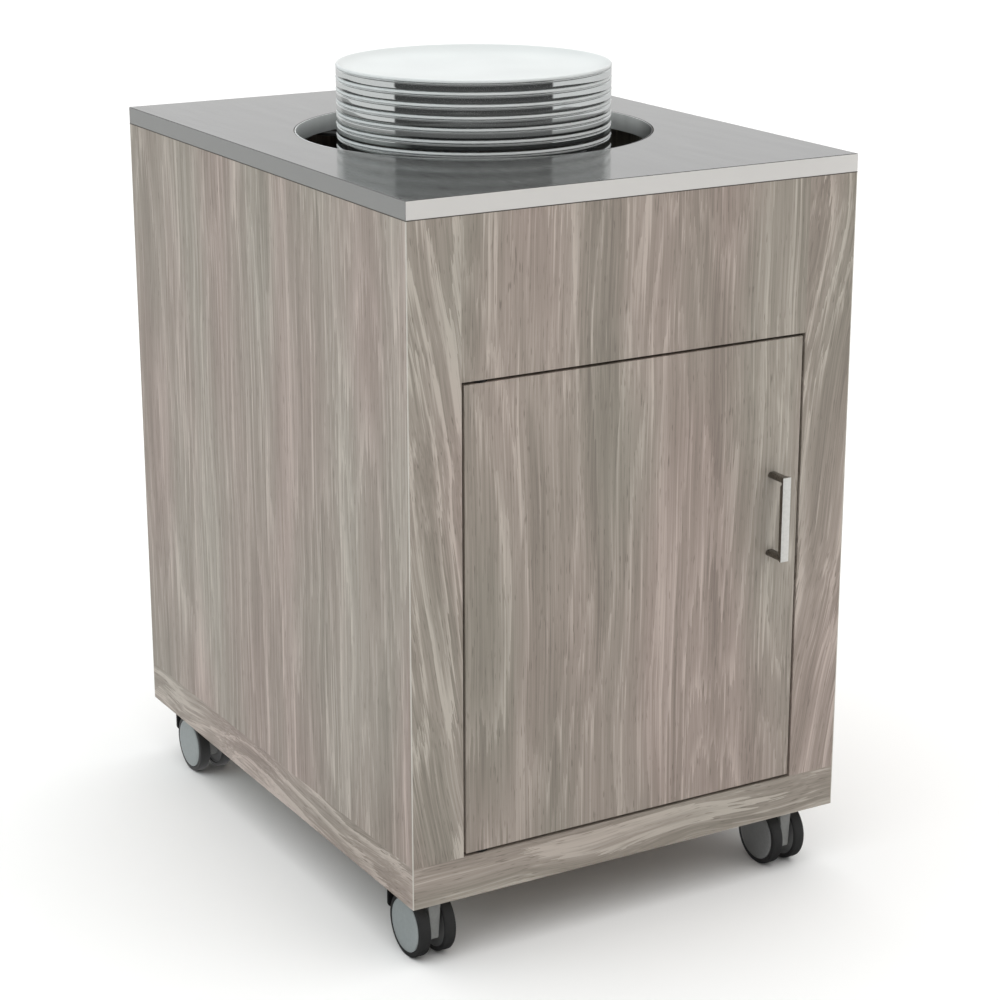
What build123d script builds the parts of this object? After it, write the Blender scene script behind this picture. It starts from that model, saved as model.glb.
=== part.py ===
"""Mobile self-service counter with a self-levelling plate dispenser.

A laminated cabinet on four twin-wheel casters carries a folded steel worktop.
A round well in the worktop opens on a sprung carriage that lifts a stack of
plates, and a door in the front gives access to the mechanism.
X runs across the width, Y from front to back and Z up from the floor.
The origin is on the floor, under the middle of the bounding box.
"""

import os
from math import cos, radians, sin

from build123d import *

os.makedirs("parts", exist_ok=True)

# Cabinet
body_width = 510.0
body_depth = 651.0
panel_height = 641.0
board = 18.0
plinth_height = 44.0
base_board_thickness = 25.0
stile_width = 57.0
apron_height = 158.0

# Worktop
top_height = 18.0
sheet = 1.5
return_lip = 12.5
sheet_arris = 0.6

# Door and handle
door_gap = 3.0
pivot_inset = 20.0
pivot_pin_radius = 4.0
pivot_pin_reach = 18.0
pivot_pin_short = 1.0
pivot_clearance = 0.08
bush_wall = 2.0
bush_flange = 1.5
bush_flange_radius = 8.0
shoulder_thickness = 1.2
shoulder_radius = 7.5
handle_length = 89.5
handle_width = 10.0
handle_reach = 25.5
handle_bar_depth = 4.5
handle_post = 6.5
handle_post_round = 3.0
handle_edge_inset = 32.5
handle_centre_height = 342.0
handle_screw_radius = 2.0
handle_screw_bite = 12.0
screw_hole_clearance = 0.2
screw_head_radius = 4.0
screw_head_height = 2.5

# Magnetic catch
catch_height = 26.0
catch_depth = 14.0
catch_reach = 24.0
strike_thickness = 1.5
magnet_gap = 0.3
catch_drop = 22.0

# Dispenser well
well_shift_x = 2.5
well_shift_y = 3.8
well_radius = 187.0
collar_wall = 1.5
collar_gap = 0.8
collar_drop = 0.2
flange_thickness = 2.0
flange_reach = 27.5
flange_screws = 4
flange_screw_radius = 2.0
flange_screw_bite = 11.0
flange_screw_turn = 0.0

# Dispenser frame
post_count = 4
post_circle = 200.0
post_radius = 6.0
post_turn = 45.0
base_ring_inner = 140.0
base_ring_outer = 214.0
base_ring_thickness = 4.0
socket_wall = 3.0
socket_height = 15.0
bumper_radius = 11.0
lower_bumper = 12.0
upper_bumper = 8.0
guide_thickness = 3.0
guide_width = 14.0
guide_clearance = 3.4
guide_angles = (60.0, 120.0, 240.0, 300.0)
guide_bend = 12.0
guide_foot_reach = 195.0

# Carriage
hub_radius = 13.0
hub_height = 24.0
bush_radius = 10.0
bush_clearance = 0.1
spider_plate = 6.0
spider_arm = 24.0
spider_disc = 62.0
spider_hole = 36.0
strut_radius = 5.0
strut_circle = 46.0
platform_radius = 125.0
platform_thickness = 3.0
platform_rim = 10.0
platform_centre_hole = 30.0
platform_hole = 18.0
platform_hole_circle = 84.0
platform_holes = 4
platform_stand = 11.5
carriage_down = 320.0
carriage_up = 35.5
stop_gap = 0.5
spring_radius = 7.0
spring_offset = 24.0
spring_bar_width = 12.0
spring_eye = 9.0
hook_plate = 3.0

# Plates
plate_radius = 144.6
plate_height = 22.0
plate_pitch = 12.0
plate_seat_gap = 0.2
foot_radius = 92.0
foot_width = 5.0
foot_height = 5.0
rim_thickness = 3.2
floor_rise = 1.0
under_rise = 1.5
well_curve = 15.0
lip_height = 3.5
lip_bevel = 1.0
bulge_height = 13.0
notch_depth = 3.3
lip_point = 0.8
wall_lean = 3.7
stack_top = 840.0

# Casters
wheel_radius = 33.2
wheel_width = 12.5
wheel_gap = 15.6
cap_radius = 27.9
cap_thickness = 1.2
axle_radius = 4.0
axle_clearance = 0.08
underside_gap = 0.6
caster_trail = 20.6
caster_from_left = 30.0
caster_from_right = 51.4
caster_from_ends = 56.8
leg_front = 25.0
leg_back = 12.5
leg_drop = 10.0
leg_round = 3.0
leg_top_width = 14.2
leg_bottom_width = 8.4
head_radius = 11.0
head_height = 17.2
stem_radius = 5.0
stem_clearance = 0.08
stem_collar_radius = 9.0
stem_collar_gap = 0.3
stem_seat_depth = 14.0
insert_radius = 8.0
insert_length = 20.0
stem_reach = 19.0
pedal_pin_radius = 2.0
pedal_pin_clearance = 0.08
pedal_hub_radius = 4.4
pedal_hub_width = 5.8
pedal_slot_clearance = 0.3
pedal_pin_back = 27.0
pedal_pin_up = 26.8
pedal_back = 38.0
pedal_plate = 3.0
pedal_width = 38.0
pedal_drop = 25.0
pedal_rise = 2.0
pedal_arm = 4.0
pedal_pin_bite = 1.0

# Corner brackets
bracket_leg = 30.0
bracket_width = 25.0
bracket_sheet = 2.0
bracket_from_middle = 230.0
bracket_screw_place = 18.0

# Levels and outlines that follow from the sizes above
half_width = body_width / 2
front_y = (handle_reach - body_depth) / 2
back_y = front_y + body_depth
inner_x = half_width - board
inner_front = front_y + board
inner_back = back_y - board
middle_y = (front_y + back_y) / 2
axle_z = wheel_radius
plinth_z = 2 * wheel_radius + underside_gap
floor_z = plinth_z + plinth_height
base_board_z = floor_z - base_board_thickness
panel_top = floor_z + panel_height
core_z = panel_top + sheet
worktop_z = panel_top + top_height
door_top = panel_top - apron_height
opening_x = half_width - stile_width
well_x = well_shift_x
well_y = middle_y + well_shift_y
flange_z = core_z - flange_thickness
socket_z = floor_z + base_ring_thickness
lower_bumper_z = socket_z + socket_height
lower_hub_z = lower_bumper_z + lower_bumper + stop_gap + carriage_down
upper_bumper_z = flange_z - upper_bumper
upper_hub_top = upper_bumper_z - stop_gap - carriage_up
upper_hub_z = upper_hub_top - hub_height
platform_low = upper_hub_top + platform_stand + platform_thickness
plate_count = 1 + round((stack_top - plate_height - platform_low) / plate_pitch)
platform_top = stack_top - plate_height - (plate_count - 1) * plate_pitch
upper_plate_z = upper_hub_z + (hub_height - spider_plate) / 2
lower_plate_z = lower_hub_z + (hub_height - spider_plate) / 2
guide_circle = plate_radius + guide_clearance + guide_thickness / 2


def polar(radius, angle):
    """Point on a circle about the well's axis."""
    return (well_x + radius * cos(radians(angle)), well_y + radius * sin(radians(angle)))


post_angles = [post_turn + step * 360 / post_count for step in range(post_count)]
post_places = [polar(post_circle, angle) for angle in post_angles]


def beside_post(angle, offset):
    """Point beside a post, square to its radius."""
    x, y = polar(post_circle, angle)
    return (x - offset * sin(radians(angle)), y + offset * cos(radians(angle)))


spring_places = [
    beside_post(angle, side * spring_offset) for angle in post_angles for side in (-1, 1)
]


# Plinth rails, mitred at the corners
with BuildPart() as plinth_front:
    with BuildSketch(Plane.XY.offset(plinth_z)):
        with BuildLine():
            Polyline(
                (-half_width, front_y), (half_width, front_y),
                (inner_x, inner_front), (-inner_x, inner_front), close=True,
            )
        make_face()
    extrude(amount=plinth_height)
    pivot_x = -opening_x + door_gap + pivot_inset
    pivot_y = front_y + board / 2
    with Locations((pivot_x, pivot_y, floor_z)):
        Hole(pivot_pin_radius, depth=pivot_pin_reach)
plinth_front.part.label = "plinth_front"
export_step(plinth_front.part, "parts/plinth_front.step")

with BuildPart() as plinth_back:
    with BuildSketch(Plane.XY.offset(plinth_z)):
        with BuildLine():
            Polyline(
                (-half_width, back_y), (half_width, back_y),
                (inner_x, inner_back), (-inner_x, inner_back), close=True,
            )
        make_face()
    extrude(amount=plinth_height)
plinth_back.part.label = "plinth_back"
export_step(plinth_back.part, "parts/plinth_back.step")

for side_name, side in (("left", -1), ("right", 1)):
    with BuildPart() as plinth_side:
        with BuildSketch(Plane.XY.offset(plinth_z)):
            with BuildLine():
                Polyline(
                    (side * half_width, front_y), (side * half_width, back_y),
                    (side * inner_x, inner_back), (side * inner_x, inner_front), close=True,
                )
            make_face()
        extrude(amount=plinth_height)
    plinth_side.part.label = f"plinth_{side_name}"
    export_step(plinth_side.part, f"parts/plinth_{side_name}.step")

# Stems stand under the base board, at the corners
stem_left = caster_from_left - half_width
stem_right = half_width - caster_from_right
stem_front = front_y + caster_from_ends
stem_back = back_y - caster_from_ends
caster_places = {
    "front_left": (stem_left, stem_front),
    "front_right": (stem_right, stem_front),
    "rear_left": (stem_left, stem_back),
    "rear_right": (stem_right, stem_back),
}
stem_places = list(caster_places.values())

with BuildPart() as base_board:
    with BuildSketch(Plane.XY.offset(base_board_z)):
        with Locations((0, middle_y)):
            Rectangle(2 * inner_x, inner_back - inner_front)
    extrude(amount=base_board_thickness)
    with BuildSketch(Plane.XY.offset(base_board_z)):
        with Locations(*stem_places):
            RegularPolygon(insert_radius, 6)
    extrude(amount=insert_length, mode=Mode.SUBTRACT)
base_board.part.label = "base_board"
export_step(base_board.part, "parts/base_board.step")

with BuildPart() as stem_inserts:
    with BuildSketch(Plane.XY.offset(base_board_z)):
        with Locations(*stem_places):
            RegularPolygon(insert_radius, 6)
            Circle(stem_radius, mode=Mode.SUBTRACT)
    extrude(amount=insert_length)
stem_inserts.part.label = "stem_inserts"
export_step(stem_inserts.part, "parts/stem_inserts.step")

# Side panels, mitred to the stiles along their front edge
for side_name, side in (("left", -1), ("right", 1)):
    with BuildPart() as side_panel:
        with BuildSketch(Plane.XY.offset(floor_z)):
            with BuildLine():
                Polyline(
                    (side * half_width, front_y), (side * half_width, back_y),
                    (side * inner_x, back_y), (side * inner_x, inner_front), close=True,
                )
            make_face()
        extrude(amount=panel_height)
    side_panel.part.label = f"side_panel_{side_name}"
    export_step(side_panel.part, f"parts/side_panel_{side_name}.step")

    with BuildPart() as stile:
        with BuildSketch(Plane.XY.offset(floor_z)):
            with BuildLine():
                Polyline(
                    (side * half_width, front_y), (side * opening_x, front_y),
                    (side * opening_x, inner_front), (side * inner_x, inner_front), close=True,
                )
            make_face()
        extrude(amount=panel_height)
    stile.part.label = f"stile_{side_name}"
    export_step(stile.part, f"parts/stile_{side_name}.step")

with BuildPart() as back_panel:
    with BuildSketch(Plane.XY.offset(floor_z)):
        with Locations((0, back_y - board / 2)):
            Rectangle(2 * inner_x, board)
    extrude(amount=panel_height)
back_panel.part.label = "back_panel"
export_step(back_panel.part, "parts/back_panel.step")

with BuildPart() as apron:
    with BuildSketch(Plane.XY.offset(door_top)):
        with Locations((0, front_y + board / 2)):
            Rectangle(2 * opening_x, board)
    extrude(amount=apron_height)
    with BuildSketch(Plane.XY.offset(door_top)):
        with Locations((pivot_x, pivot_y)):
            Circle(pivot_pin_radius)
    extrude(amount=pivot_pin_reach, mode=Mode.SUBTRACT)
apron.part.label = "apron"
export_step(apron.part, "parts/apron.step")

# Folded sheet worktop round its core board
hole_radius = well_radius + collar_wall + collar_gap
with BuildPart() as steel_top:
    with BuildSketch(Plane.XY.offset(panel_top)):
        with Locations((0, middle_y)):
            Rectangle(body_width, body_depth)
    extrude(amount=top_height)
    chamfer(steel_top.faces().sort_by(Axis.Z)[-1].edges(), sheet_arris)
    with BuildSketch(Plane.XY.offset(core_z)):
        with Locations((0, middle_y)):
            Rectangle(body_width - 2 * sheet, body_depth - 2 * sheet)
    extrude(amount=top_height - 2 * sheet, mode=Mode.SUBTRACT)
    with BuildSketch(Plane.XY.offset(panel_top)):
        with Locations((0, middle_y)):
            Rectangle(
                body_width - 2 * sheet - 2 * return_lip, body_depth - 2 * sheet - 2 * return_lip
            )
    extrude(amount=sheet, mode=Mode.SUBTRACT)
    with BuildSketch(Plane.XY.offset(panel_top)):
        with Locations((well_x, well_y)):
            Circle(hole_radius)
    extrude(amount=top_height, mode=Mode.SUBTRACT)
steel_top.part.label = "steel_top"
export_step(steel_top.part, "parts/steel_top.step")

screw_circle = hole_radius + (well_radius + collar_wall + flange_reach - hole_radius) / 2
screw_places = [
    polar(screw_circle, flange_screw_turn + step * 360 / flange_screws)
    for step in range(flange_screws)
]

with BuildPart() as top_core:
    with BuildSketch(Plane.XY.offset(core_z)):
        with Locations((0, middle_y)):
            Rectangle(body_width - 2 * sheet, body_depth - 2 * sheet)
        with Locations((well_x, well_y)):
            Circle(hole_radius, mode=Mode.SUBTRACT)
    extrude(amount=top_height - 2 * sheet)
    with BuildSketch(Plane.XY.offset(core_z)):
        with Locations(*screw_places):
            Circle(flange_screw_radius)
    extrude(amount=flange_screw_bite, mode=Mode.SUBTRACT)
top_core.part.label = "top_core"
export_step(top_core.part, "parts/top_core.step")

# Collar of the well, with its flange under the core board
collar_outer = well_radius + collar_wall
flange_outer = collar_outer + flange_reach
with BuildPart() as well_collar:
    with BuildSketch(Plane.XY.offset(flange_z)):
        with Locations((well_x, well_y)):
            Circle(flange_outer)
            Circle(well_radius, mode=Mode.SUBTRACT)
        with Locations(*screw_places):
            Circle(flange_screw_radius, mode=Mode.SUBTRACT)
    extrude(amount=flange_thickness)
    with BuildSketch(Plane.XY.offset(core_z)):
        with Locations((well_x, well_y)):
            Circle(collar_outer)
            Circle(well_radius, mode=Mode.SUBTRACT)
    extrude(amount=worktop_z - collar_drop - core_z)
well_collar.part.label = "well_collar"
export_step(well_collar.part, "parts/well_collar.step")

with BuildPart() as collar_screws:
    with BuildSketch(Plane.XY.offset(flange_z)):
        with Locations(*screw_places):
            Circle(flange_screw_radius)
    extrude(amount=flange_thickness + flange_screw_bite)
    with BuildSketch(Plane.XY.offset(flange_z)):
        with Locations(*screw_places):
            RegularPolygon(screw_head_radius, 6)
    extrude(amount=-screw_head_height)
collar_screws.part.label = "collar_screws"
export_step(collar_screws.part, "parts/collar_screws.step")

# Steel angles that tie the side panels to the core board
bracket_ys = [middle_y - bracket_from_middle, middle_y + bracket_from_middle]
with BuildPart() as corner_brackets:
    for side in (-1, 1):
        for y in bracket_ys:
            with BuildSketch(Plane.XZ.offset(-(y - bracket_width / 2))):
                with BuildLine():
                    Polyline(
                        (side * inner_x, core_z),
                        (side * (inner_x - bracket_leg), core_z),
                        (side * (inner_x - bracket_leg), core_z - bracket_sheet),
                        (side * (inner_x - bracket_sheet), core_z - bracket_sheet),
                        (side * (inner_x - bracket_sheet), core_z - bracket_leg),
                        (side * inner_x, core_z - bracket_leg),
                        close=True,
                    )
                make_face()
            extrude(amount=-bracket_width)
corner_brackets.part.label = "corner_brackets"
export_step(corner_brackets.part, "parts/corner_brackets.step")

with BuildPart() as bracket_screws:
    for side in (-1, 1):
        for y in bracket_ys:
            with BuildSketch(Plane.XY.offset(core_z - bracket_sheet)):
                with Locations((side * (inner_x - bracket_screw_place), y)):
                    RegularPolygon(screw_head_radius, 6)
            extrude(amount=-screw_head_height)
            with BuildSketch(Plane.YZ.offset(side * (inner_x - bracket_sheet))):
                with Locations((y, core_z - bracket_screw_place)):
                    RegularPolygon(screw_head_radius, 6)
            extrude(amount=-side * screw_head_height)
bracket_screws.part.label = "bracket_screws"
export_step(bracket_screws.part, "parts/bracket_screws.step")

# Open frame of the dispenser: posts between the collar's flange and a base ring
with BuildPart() as base_ring:
    with BuildSketch(Plane.XY.offset(floor_z)):
        with Locations((well_x, well_y)):
            Circle(base_ring_outer)
            Circle(base_ring_inner, mode=Mode.SUBTRACT)
    extrude(amount=base_ring_thickness)
    with BuildSketch(Plane.XY.offset(socket_z)):
        with Locations(*post_places):
            Circle(post_radius + socket_wall)
            Circle(post_radius, mode=Mode.SUBTRACT)
    extrude(amount=socket_height)
base_ring.part.label = "base_ring"
export_step(base_ring.part, "parts/base_ring.step")

with BuildPart() as guide_posts:
    with BuildSketch(Plane.XY.offset(socket_z)):
        with Locations(*post_places):
            Circle(post_radius)
    extrude(amount=flange_z - socket_z)
guide_posts.part.label = "guide_posts"
export_step(guide_posts.part, "parts/guide_posts.step")

with BuildPart() as stop_bumpers:
    for level, height in ((lower_bumper_z, lower_bumper), (upper_bumper_z, upper_bumper)):
        with BuildSketch(Plane.XY.offset(level)):
            with Locations(*post_places):
                Circle(bumper_radius)
                Circle(post_radius, mode=Mode.SUBTRACT)
        extrude(amount=height)
stop_bumpers.part.label = "stop_bumpers"
export_step(stop_bumpers.part, "parts/stop_bumpers.step")

# Flat bars that keep the plates in line, turned outwards under the flange
with BuildPart() as plate_guides:
    for angle in guide_angles:
        foot_x, foot_y = polar(guide_circle, angle)
        end_x, end_y = polar(guide_foot_reach, angle)
        top_z = flange_z - guide_thickness / 2
        with BuildLine() as bar_line:
            FilletPolyline(
                (foot_x, foot_y, socket_z), (foot_x, foot_y, top_z), (end_x, end_y, top_z),
                radius=guide_bend,
            )
        with BuildSketch(Plane.XY.offset(socket_z)):
            with Locations((foot_x, foot_y)):
                Rectangle(guide_thickness, guide_width, rotation=angle)
        sweep(path=bar_line.wire())
plate_guides.part.label = "plate_guides"
export_step(plate_guides.part, "parts/plate_guides.step")

# Square steel lugs under the flange, one for each spring
with BuildPart() as spring_anchors:
    with BuildSketch(Plane.XY.offset(flange_z - hook_plate)):
        with Locations(*spring_places):
            Rectangle(2 * spring_eye, 2 * spring_eye, rotation=post_turn)
    extrude(amount=hook_plate)
spring_anchors.part.label = "spring_anchors"
export_step(spring_anchors.part, "parts/spring_anchors.step")

spring_top = flange_z - hook_plate
spring_bottom = lower_plate_z + spider_plate
with BuildPart() as lift_springs:
    with BuildSketch(Plane.XY.offset(spring_bottom)):
        with Locations(*spring_places):
            Circle(spring_radius)
    extrude(amount=spring_top - spring_bottom)
lift_springs.part.label = "lift_springs"
export_step(lift_springs.part, "parts/lift_springs.step")

# Carriage: two crossed spiders on the posts, tied by struts to the plate platform
strut_places = [polar(strut_circle, angle) for angle in post_angles]


def spider_outline(with_spring_bars):
    """Cut-out cross with a disc at its middle and an ear at each post."""
    with Locations((well_x, well_y)):
        Circle(spider_disc)
    for angle, place in zip(post_angles, post_places):
        with Locations(polar(post_circle / 2, angle)):
            Rectangle(post_circle, spider_arm, rotation=angle)
        with Locations(place):
            Circle(hub_radius)
        if with_spring_bars:
            with Locations(place):
                Rectangle(
                    spring_bar_width, 2 * spring_offset + spring_bar_width, rotation=angle
                )
    with Locations((well_x, well_y)):
        Circle(spider_hole, mode=Mode.SUBTRACT)
    with Locations(*post_places):
        Circle(bush_radius, mode=Mode.SUBTRACT)


for name, hub_z, plate_z, with_spring_bars in (
    ("upper_spider", upper_hub_z, upper_plate_z, False),
    ("lower_spider", lower_hub_z, lower_plate_z, True),
):
    with BuildPart() as spider:
        with BuildSketch(Plane.XY.offset(plate_z)):
            spider_outline(with_spring_bars)
            if not with_spring_bars:
                with Locations(*strut_places):
                    Circle(strut_radius, mode=Mode.SUBTRACT)
        extrude(amount=spider_plate)
        with BuildSketch(Plane.XY.offset(hub_z)):
            with Locations(*post_places):
                Circle(hub_radius)
                Circle(bush_radius, mode=Mode.SUBTRACT)
        extrude(amount=hub_height)
    spider.part.label = name
    export_step(spider.part, f"parts/{name}.step")

with BuildPart() as guide_bushes:
    for hub_z in (upper_hub_z, lower_hub_z):
        with BuildSketch(Plane.XY.offset(hub_z)):
            with Locations(*post_places):
                Circle(bush_radius)
                Circle(post_radius + bush_clearance, mode=Mode.SUBTRACT)
        extrude(amount=hub_height)
guide_bushes.part.label = "guide_bushes"
export_step(guide_bushes.part, "parts/guide_bushes.step")

platform_z = platform_top - platform_thickness
strut_foot_z = lower_plate_z + spider_plate
with BuildPart() as carriage_struts:
    with BuildSketch(Plane.XY.offset(strut_foot_z)):
        with Locations(*strut_places):
            Circle(strut_radius)
    extrude(amount=platform_z - strut_foot_z)
carriage_struts.part.label = "carriage_struts"
export_step(carriage_struts.part, "parts/carriage_struts.step")

with BuildPart() as plate_platform:
    with BuildSketch(Plane.XY.offset(platform_z)):
        with Locations((well_x, well_y)):
            Circle(platform_radius)
            Circle(platform_centre_hole, mode=Mode.SUBTRACT)
            with PolarLocations(platform_hole_circle, platform_holes):
                Circle(platform_hole, mode=Mode.SUBTRACT)
    extrude(amount=platform_thickness)
    with BuildSketch(Plane.XY.offset(platform_z)):
        with Locations((well_x, well_y)):
            Circle(platform_radius)
            Circle(platform_radius - platform_thickness, mode=Mode.SUBTRACT)
    extrude(amount=-platform_rim)
plate_platform.part.label = "plate_platform"
export_step(plate_platform.part, "parts/plate_platform.step")

# Plates: the lower ones nest as one column, and the top one is a piece of its own
wall_foot = plate_radius - wall_lean
lip_foot = plate_height - lip_height


def rim_outline(base):
    """Outer edge of a plate from its bulge over the groove to the lip."""
    return [
        (plate_radius, base + bulge_height),
        (plate_radius - notch_depth, base + lip_foot),
        (plate_radius, base + plate_height - lip_point),
    ]


column_base = platform_top
with BuildPart() as plate_stack:
    with BuildSketch(Plane(origin=(well_x, well_y, 0), x_dir=(1, 0, 0), z_dir=(0, -1, 0))):
        with BuildLine():
            outline = [
                (0, column_base),
                (foot_radius, column_base),
                (foot_radius + foot_width, column_base + foot_height),
                (wall_foot - foot_width, column_base + foot_height + under_rise),
            ]
            outline += [(wall_foot, column_base + plate_height - plate_pitch)]
            for step in range(plate_count - 1):
                outline += rim_outline(column_base + step * plate_pitch)
            crown = column_base + (plate_count - 2) * plate_pitch
            outline += [
                (plate_radius - lip_bevel, crown + plate_height),
                (plate_radius - rim_thickness, crown + plate_height),
                (plate_radius - rim_thickness - wall_lean, crown + plate_pitch + floor_rise),
                (foot_radius + well_curve, crown + plate_pitch - plate_seat_gap),
                (0, crown + plate_pitch - plate_seat_gap),
            ]
            Polyline(*outline, close=True)
        make_face()
    revolve(axis=Axis((well_x, well_y, 0), (0, 0, 1)))
plate_stack.part.label = "plate_stack"
export_step(plate_stack.part, "parts/plate_stack.step")

top_base = stack_top - plate_height
with BuildPart() as top_plate:
    with BuildSketch(Plane(origin=(well_x, well_y, 0), x_dir=(1, 0, 0), z_dir=(0, -1, 0))):
        with BuildLine():
            Polyline(
                (0, top_base + foot_height),
                (foot_radius - foot_width, top_base + foot_height),
                (foot_radius - foot_width, top_base),
                (foot_radius, top_base),
                (foot_radius + foot_width, top_base + foot_height),
                (wall_foot - foot_width, top_base + foot_height + under_rise),
                (wall_foot, top_base + plate_height - plate_pitch),
                *rim_outline(top_base),
                (plate_radius - lip_bevel, stack_top),
                (plate_radius - rim_thickness, stack_top),
                (plate_radius - rim_thickness - wall_lean, top_base + plate_pitch + floor_rise),
                (foot_radius + well_curve, top_base + plate_pitch - plate_seat_gap),
                (0, top_base + plate_pitch - plate_seat_gap),
                close=True,
            )
        make_face()
    revolve(axis=Axis((well_x, well_y, 0), (0, 0, 1)))
top_plate.part.label = "top_plate"
export_step(top_plate.part, "parts/top_plate.step")

# Door, flush in its opening, on pivots set into its thickness
door_width = 2 * (opening_x - door_gap)
door_bottom = floor_z + door_gap
door_height = door_top - floor_z - 2 * door_gap
bush_outer = pivot_pin_radius + pivot_clearance + bush_wall
handle_x = opening_x - door_gap - handle_edge_inset
handle_low = plinth_z + handle_centre_height - handle_length / 2
handle_posts = [
    handle_low + handle_post / 2,
    handle_low + handle_length - handle_post / 2,
]
with BuildPart() as door_panel:
    with BuildSketch(Plane.XY.offset(door_bottom)):
        with Locations((0, front_y + board / 2)):
            Rectangle(door_width, board)
        with Locations((pivot_x, pivot_y)):
            Circle(bush_outer, mode=Mode.SUBTRACT)
    extrude(amount=pivot_pin_reach)
    with BuildSketch(Plane.XY.offset(door_bottom + pivot_pin_reach)):
        with Locations((0, front_y + board / 2)):
            Rectangle(door_width, board)
    extrude(amount=door_height - 2 * pivot_pin_reach)
    with BuildSketch(Plane.XY.offset(door_bottom + door_height - pivot_pin_reach)):
        with Locations((0, front_y + board / 2)):
            Rectangle(door_width, board)
        with Locations((pivot_x, pivot_y)):
            Circle(bush_outer, mode=Mode.SUBTRACT)
    extrude(amount=pivot_pin_reach)
    with BuildSketch(Plane.XZ.offset(-front_y)):
        with Locations(*[(handle_x, z) for z in handle_posts]):
            Circle(handle_screw_radius + screw_hole_clearance)
    extrude(amount=-board, mode=Mode.SUBTRACT)
door_panel.part.label = "door_panel"
export_step(door_panel.part, "parts/door_panel.step")

with BuildPart() as pivot_bushes:
    for start, inward in ((door_bottom, 1), (door_bottom + door_height, -1)):
        with BuildSketch(Plane.XY.offset(start)):
            with Locations((pivot_x, pivot_y)):
                Circle(bush_outer)
                Circle(pivot_pin_radius + pivot_clearance, mode=Mode.SUBTRACT)
        extrude(amount=inward * pivot_pin_reach)
        with BuildSketch(Plane.XY.offset(start)):
            with Locations((pivot_x, pivot_y)):
                Circle(bush_flange_radius)
                Circle(pivot_pin_radius + pivot_clearance, mode=Mode.SUBTRACT)
        extrude(amount=-inward * bush_flange)
pivot_bushes.part.label = "pivot_bushes"
export_step(pivot_bushes.part, "parts/pivot_bushes.step")

pin_length = pivot_pin_reach + door_gap + pivot_pin_reach - pivot_pin_short
with BuildPart() as pivot_pins:
    for start, upward in ((floor_z, 1), (door_top, -1)):
        with BuildSketch(Plane.XY.offset(start - upward * pivot_pin_reach)):
            with Locations((pivot_x, pivot_y)):
                Circle(pivot_pin_radius)
        extrude(amount=upward * pin_length)
        with BuildSketch(Plane.XY.offset(start)):
            with Locations((pivot_x, pivot_y)):
                Circle(shoulder_radius)
        extrude(amount=upward * shoulder_thickness)
pivot_pins.part.label = "pivot_pins"
export_step(pivot_pins.part, "parts/pivot_pins.step")

with BuildPart() as door_handle:
    with BuildSketch(Plane.XZ.offset(-front_y)):
        for z in handle_posts:
            with Locations((handle_x, z)):
                RectangleRounded(handle_width, handle_post, handle_post_round)
    extrude(amount=handle_reach - handle_bar_depth)
    with BuildSketch(Plane.XZ.offset(handle_reach - handle_bar_depth - front_y)):
        with Locations((handle_x, handle_low + handle_length / 2)):
            Rectangle(handle_width, handle_length)
    extrude(amount=handle_bar_depth)
    with BuildSketch(Plane.XZ.offset(-front_y)):
        for z in handle_posts:
            with Locations((handle_x, z)):
                Circle(handle_screw_radius)
    extrude(amount=handle_screw_bite, mode=Mode.SUBTRACT)
door_handle.part.label = "door_handle"
export_step(door_handle.part, "parts/door_handle.step")

with BuildPart() as handle_screws:
    with BuildSketch(Plane.XZ.offset(-inner_front)):
        for z in handle_posts:
            with Locations((handle_x, z)):
                Circle(handle_screw_radius)
    extrude(amount=board + handle_screw_bite)
    with BuildSketch(Plane.XZ.offset(-inner_front)):
        for z in handle_posts:
            with Locations((handle_x, z)):
                Circle(screw_head_radius)
    extrude(amount=-screw_head_height)
handle_screws.part.label = "handle_screws"
export_step(handle_screws.part, "parts/handle_screws.step")

# Magnetic catch on the back of the right stile, and its strike on the door
catch_z = door_top - catch_drop
strike_back = inner_front + strike_thickness
with BuildPart() as magnet_catch:
    with BuildSketch(Plane.XY.offset(catch_z - catch_height / 2)):
        with BuildLine():
            Polyline(
                (opening_x + catch_reach, inner_front),
                (opening_x, inner_front),
                (opening_x, strike_back + magnet_gap),
                (opening_x - catch_reach, strike_back + magnet_gap),
                (opening_x - catch_reach, inner_front + catch_depth),
                (opening_x + catch_reach, inner_front + catch_depth),
                close=True,
            )
        make_face()
    extrude(amount=catch_height)
magnet_catch.part.label = "magnet_catch"
export_step(magnet_catch.part, "parts/magnet_catch.step")

strike_width = catch_reach - door_gap
with BuildPart() as catch_strike:
    with BuildSketch(Plane.XZ.offset(-inner_front)):
        with Locations((opening_x - door_gap - strike_width / 2, catch_z)):
            RectangleRounded(strike_width, catch_height, strike_thickness)
    extrude(amount=-strike_thickness)
catch_strike.part.label = "catch_strike"
export_step(catch_strike.part, "parts/catch_strike.step")

# Threaded stems of the casters
head_z = 2 * wheel_radius
head_top = head_z + head_height
with BuildPart() as caster_stems:
    with BuildSketch(Plane.XY.offset(head_top - stem_seat_depth + stem_collar_gap)):
        with Locations(*stem_places):
            Circle(stem_radius)
    extrude(amount=base_board_z + stem_reach - head_top + stem_seat_depth - stem_collar_gap)
    with BuildSketch(Plane.XY.offset(head_top + stem_collar_gap)):
        with Locations(*stem_places):
            RegularPolygon(stem_collar_radius, 6)
    extrude(amount=base_board_z - head_top - stem_collar_gap)
caster_stems.part.label = "caster_stems"
export_step(caster_stems.part, "parts/caster_stems.step")


def across(stem_x, stem_y):
    """Plane across a caster at its axle: sketches run back along Y and up along Z."""
    return Plane(
        origin=(stem_x, stem_y - caster_trail, axle_z), x_dir=(0, 1, 0), z_dir=(1, 0, 0)
    )


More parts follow.
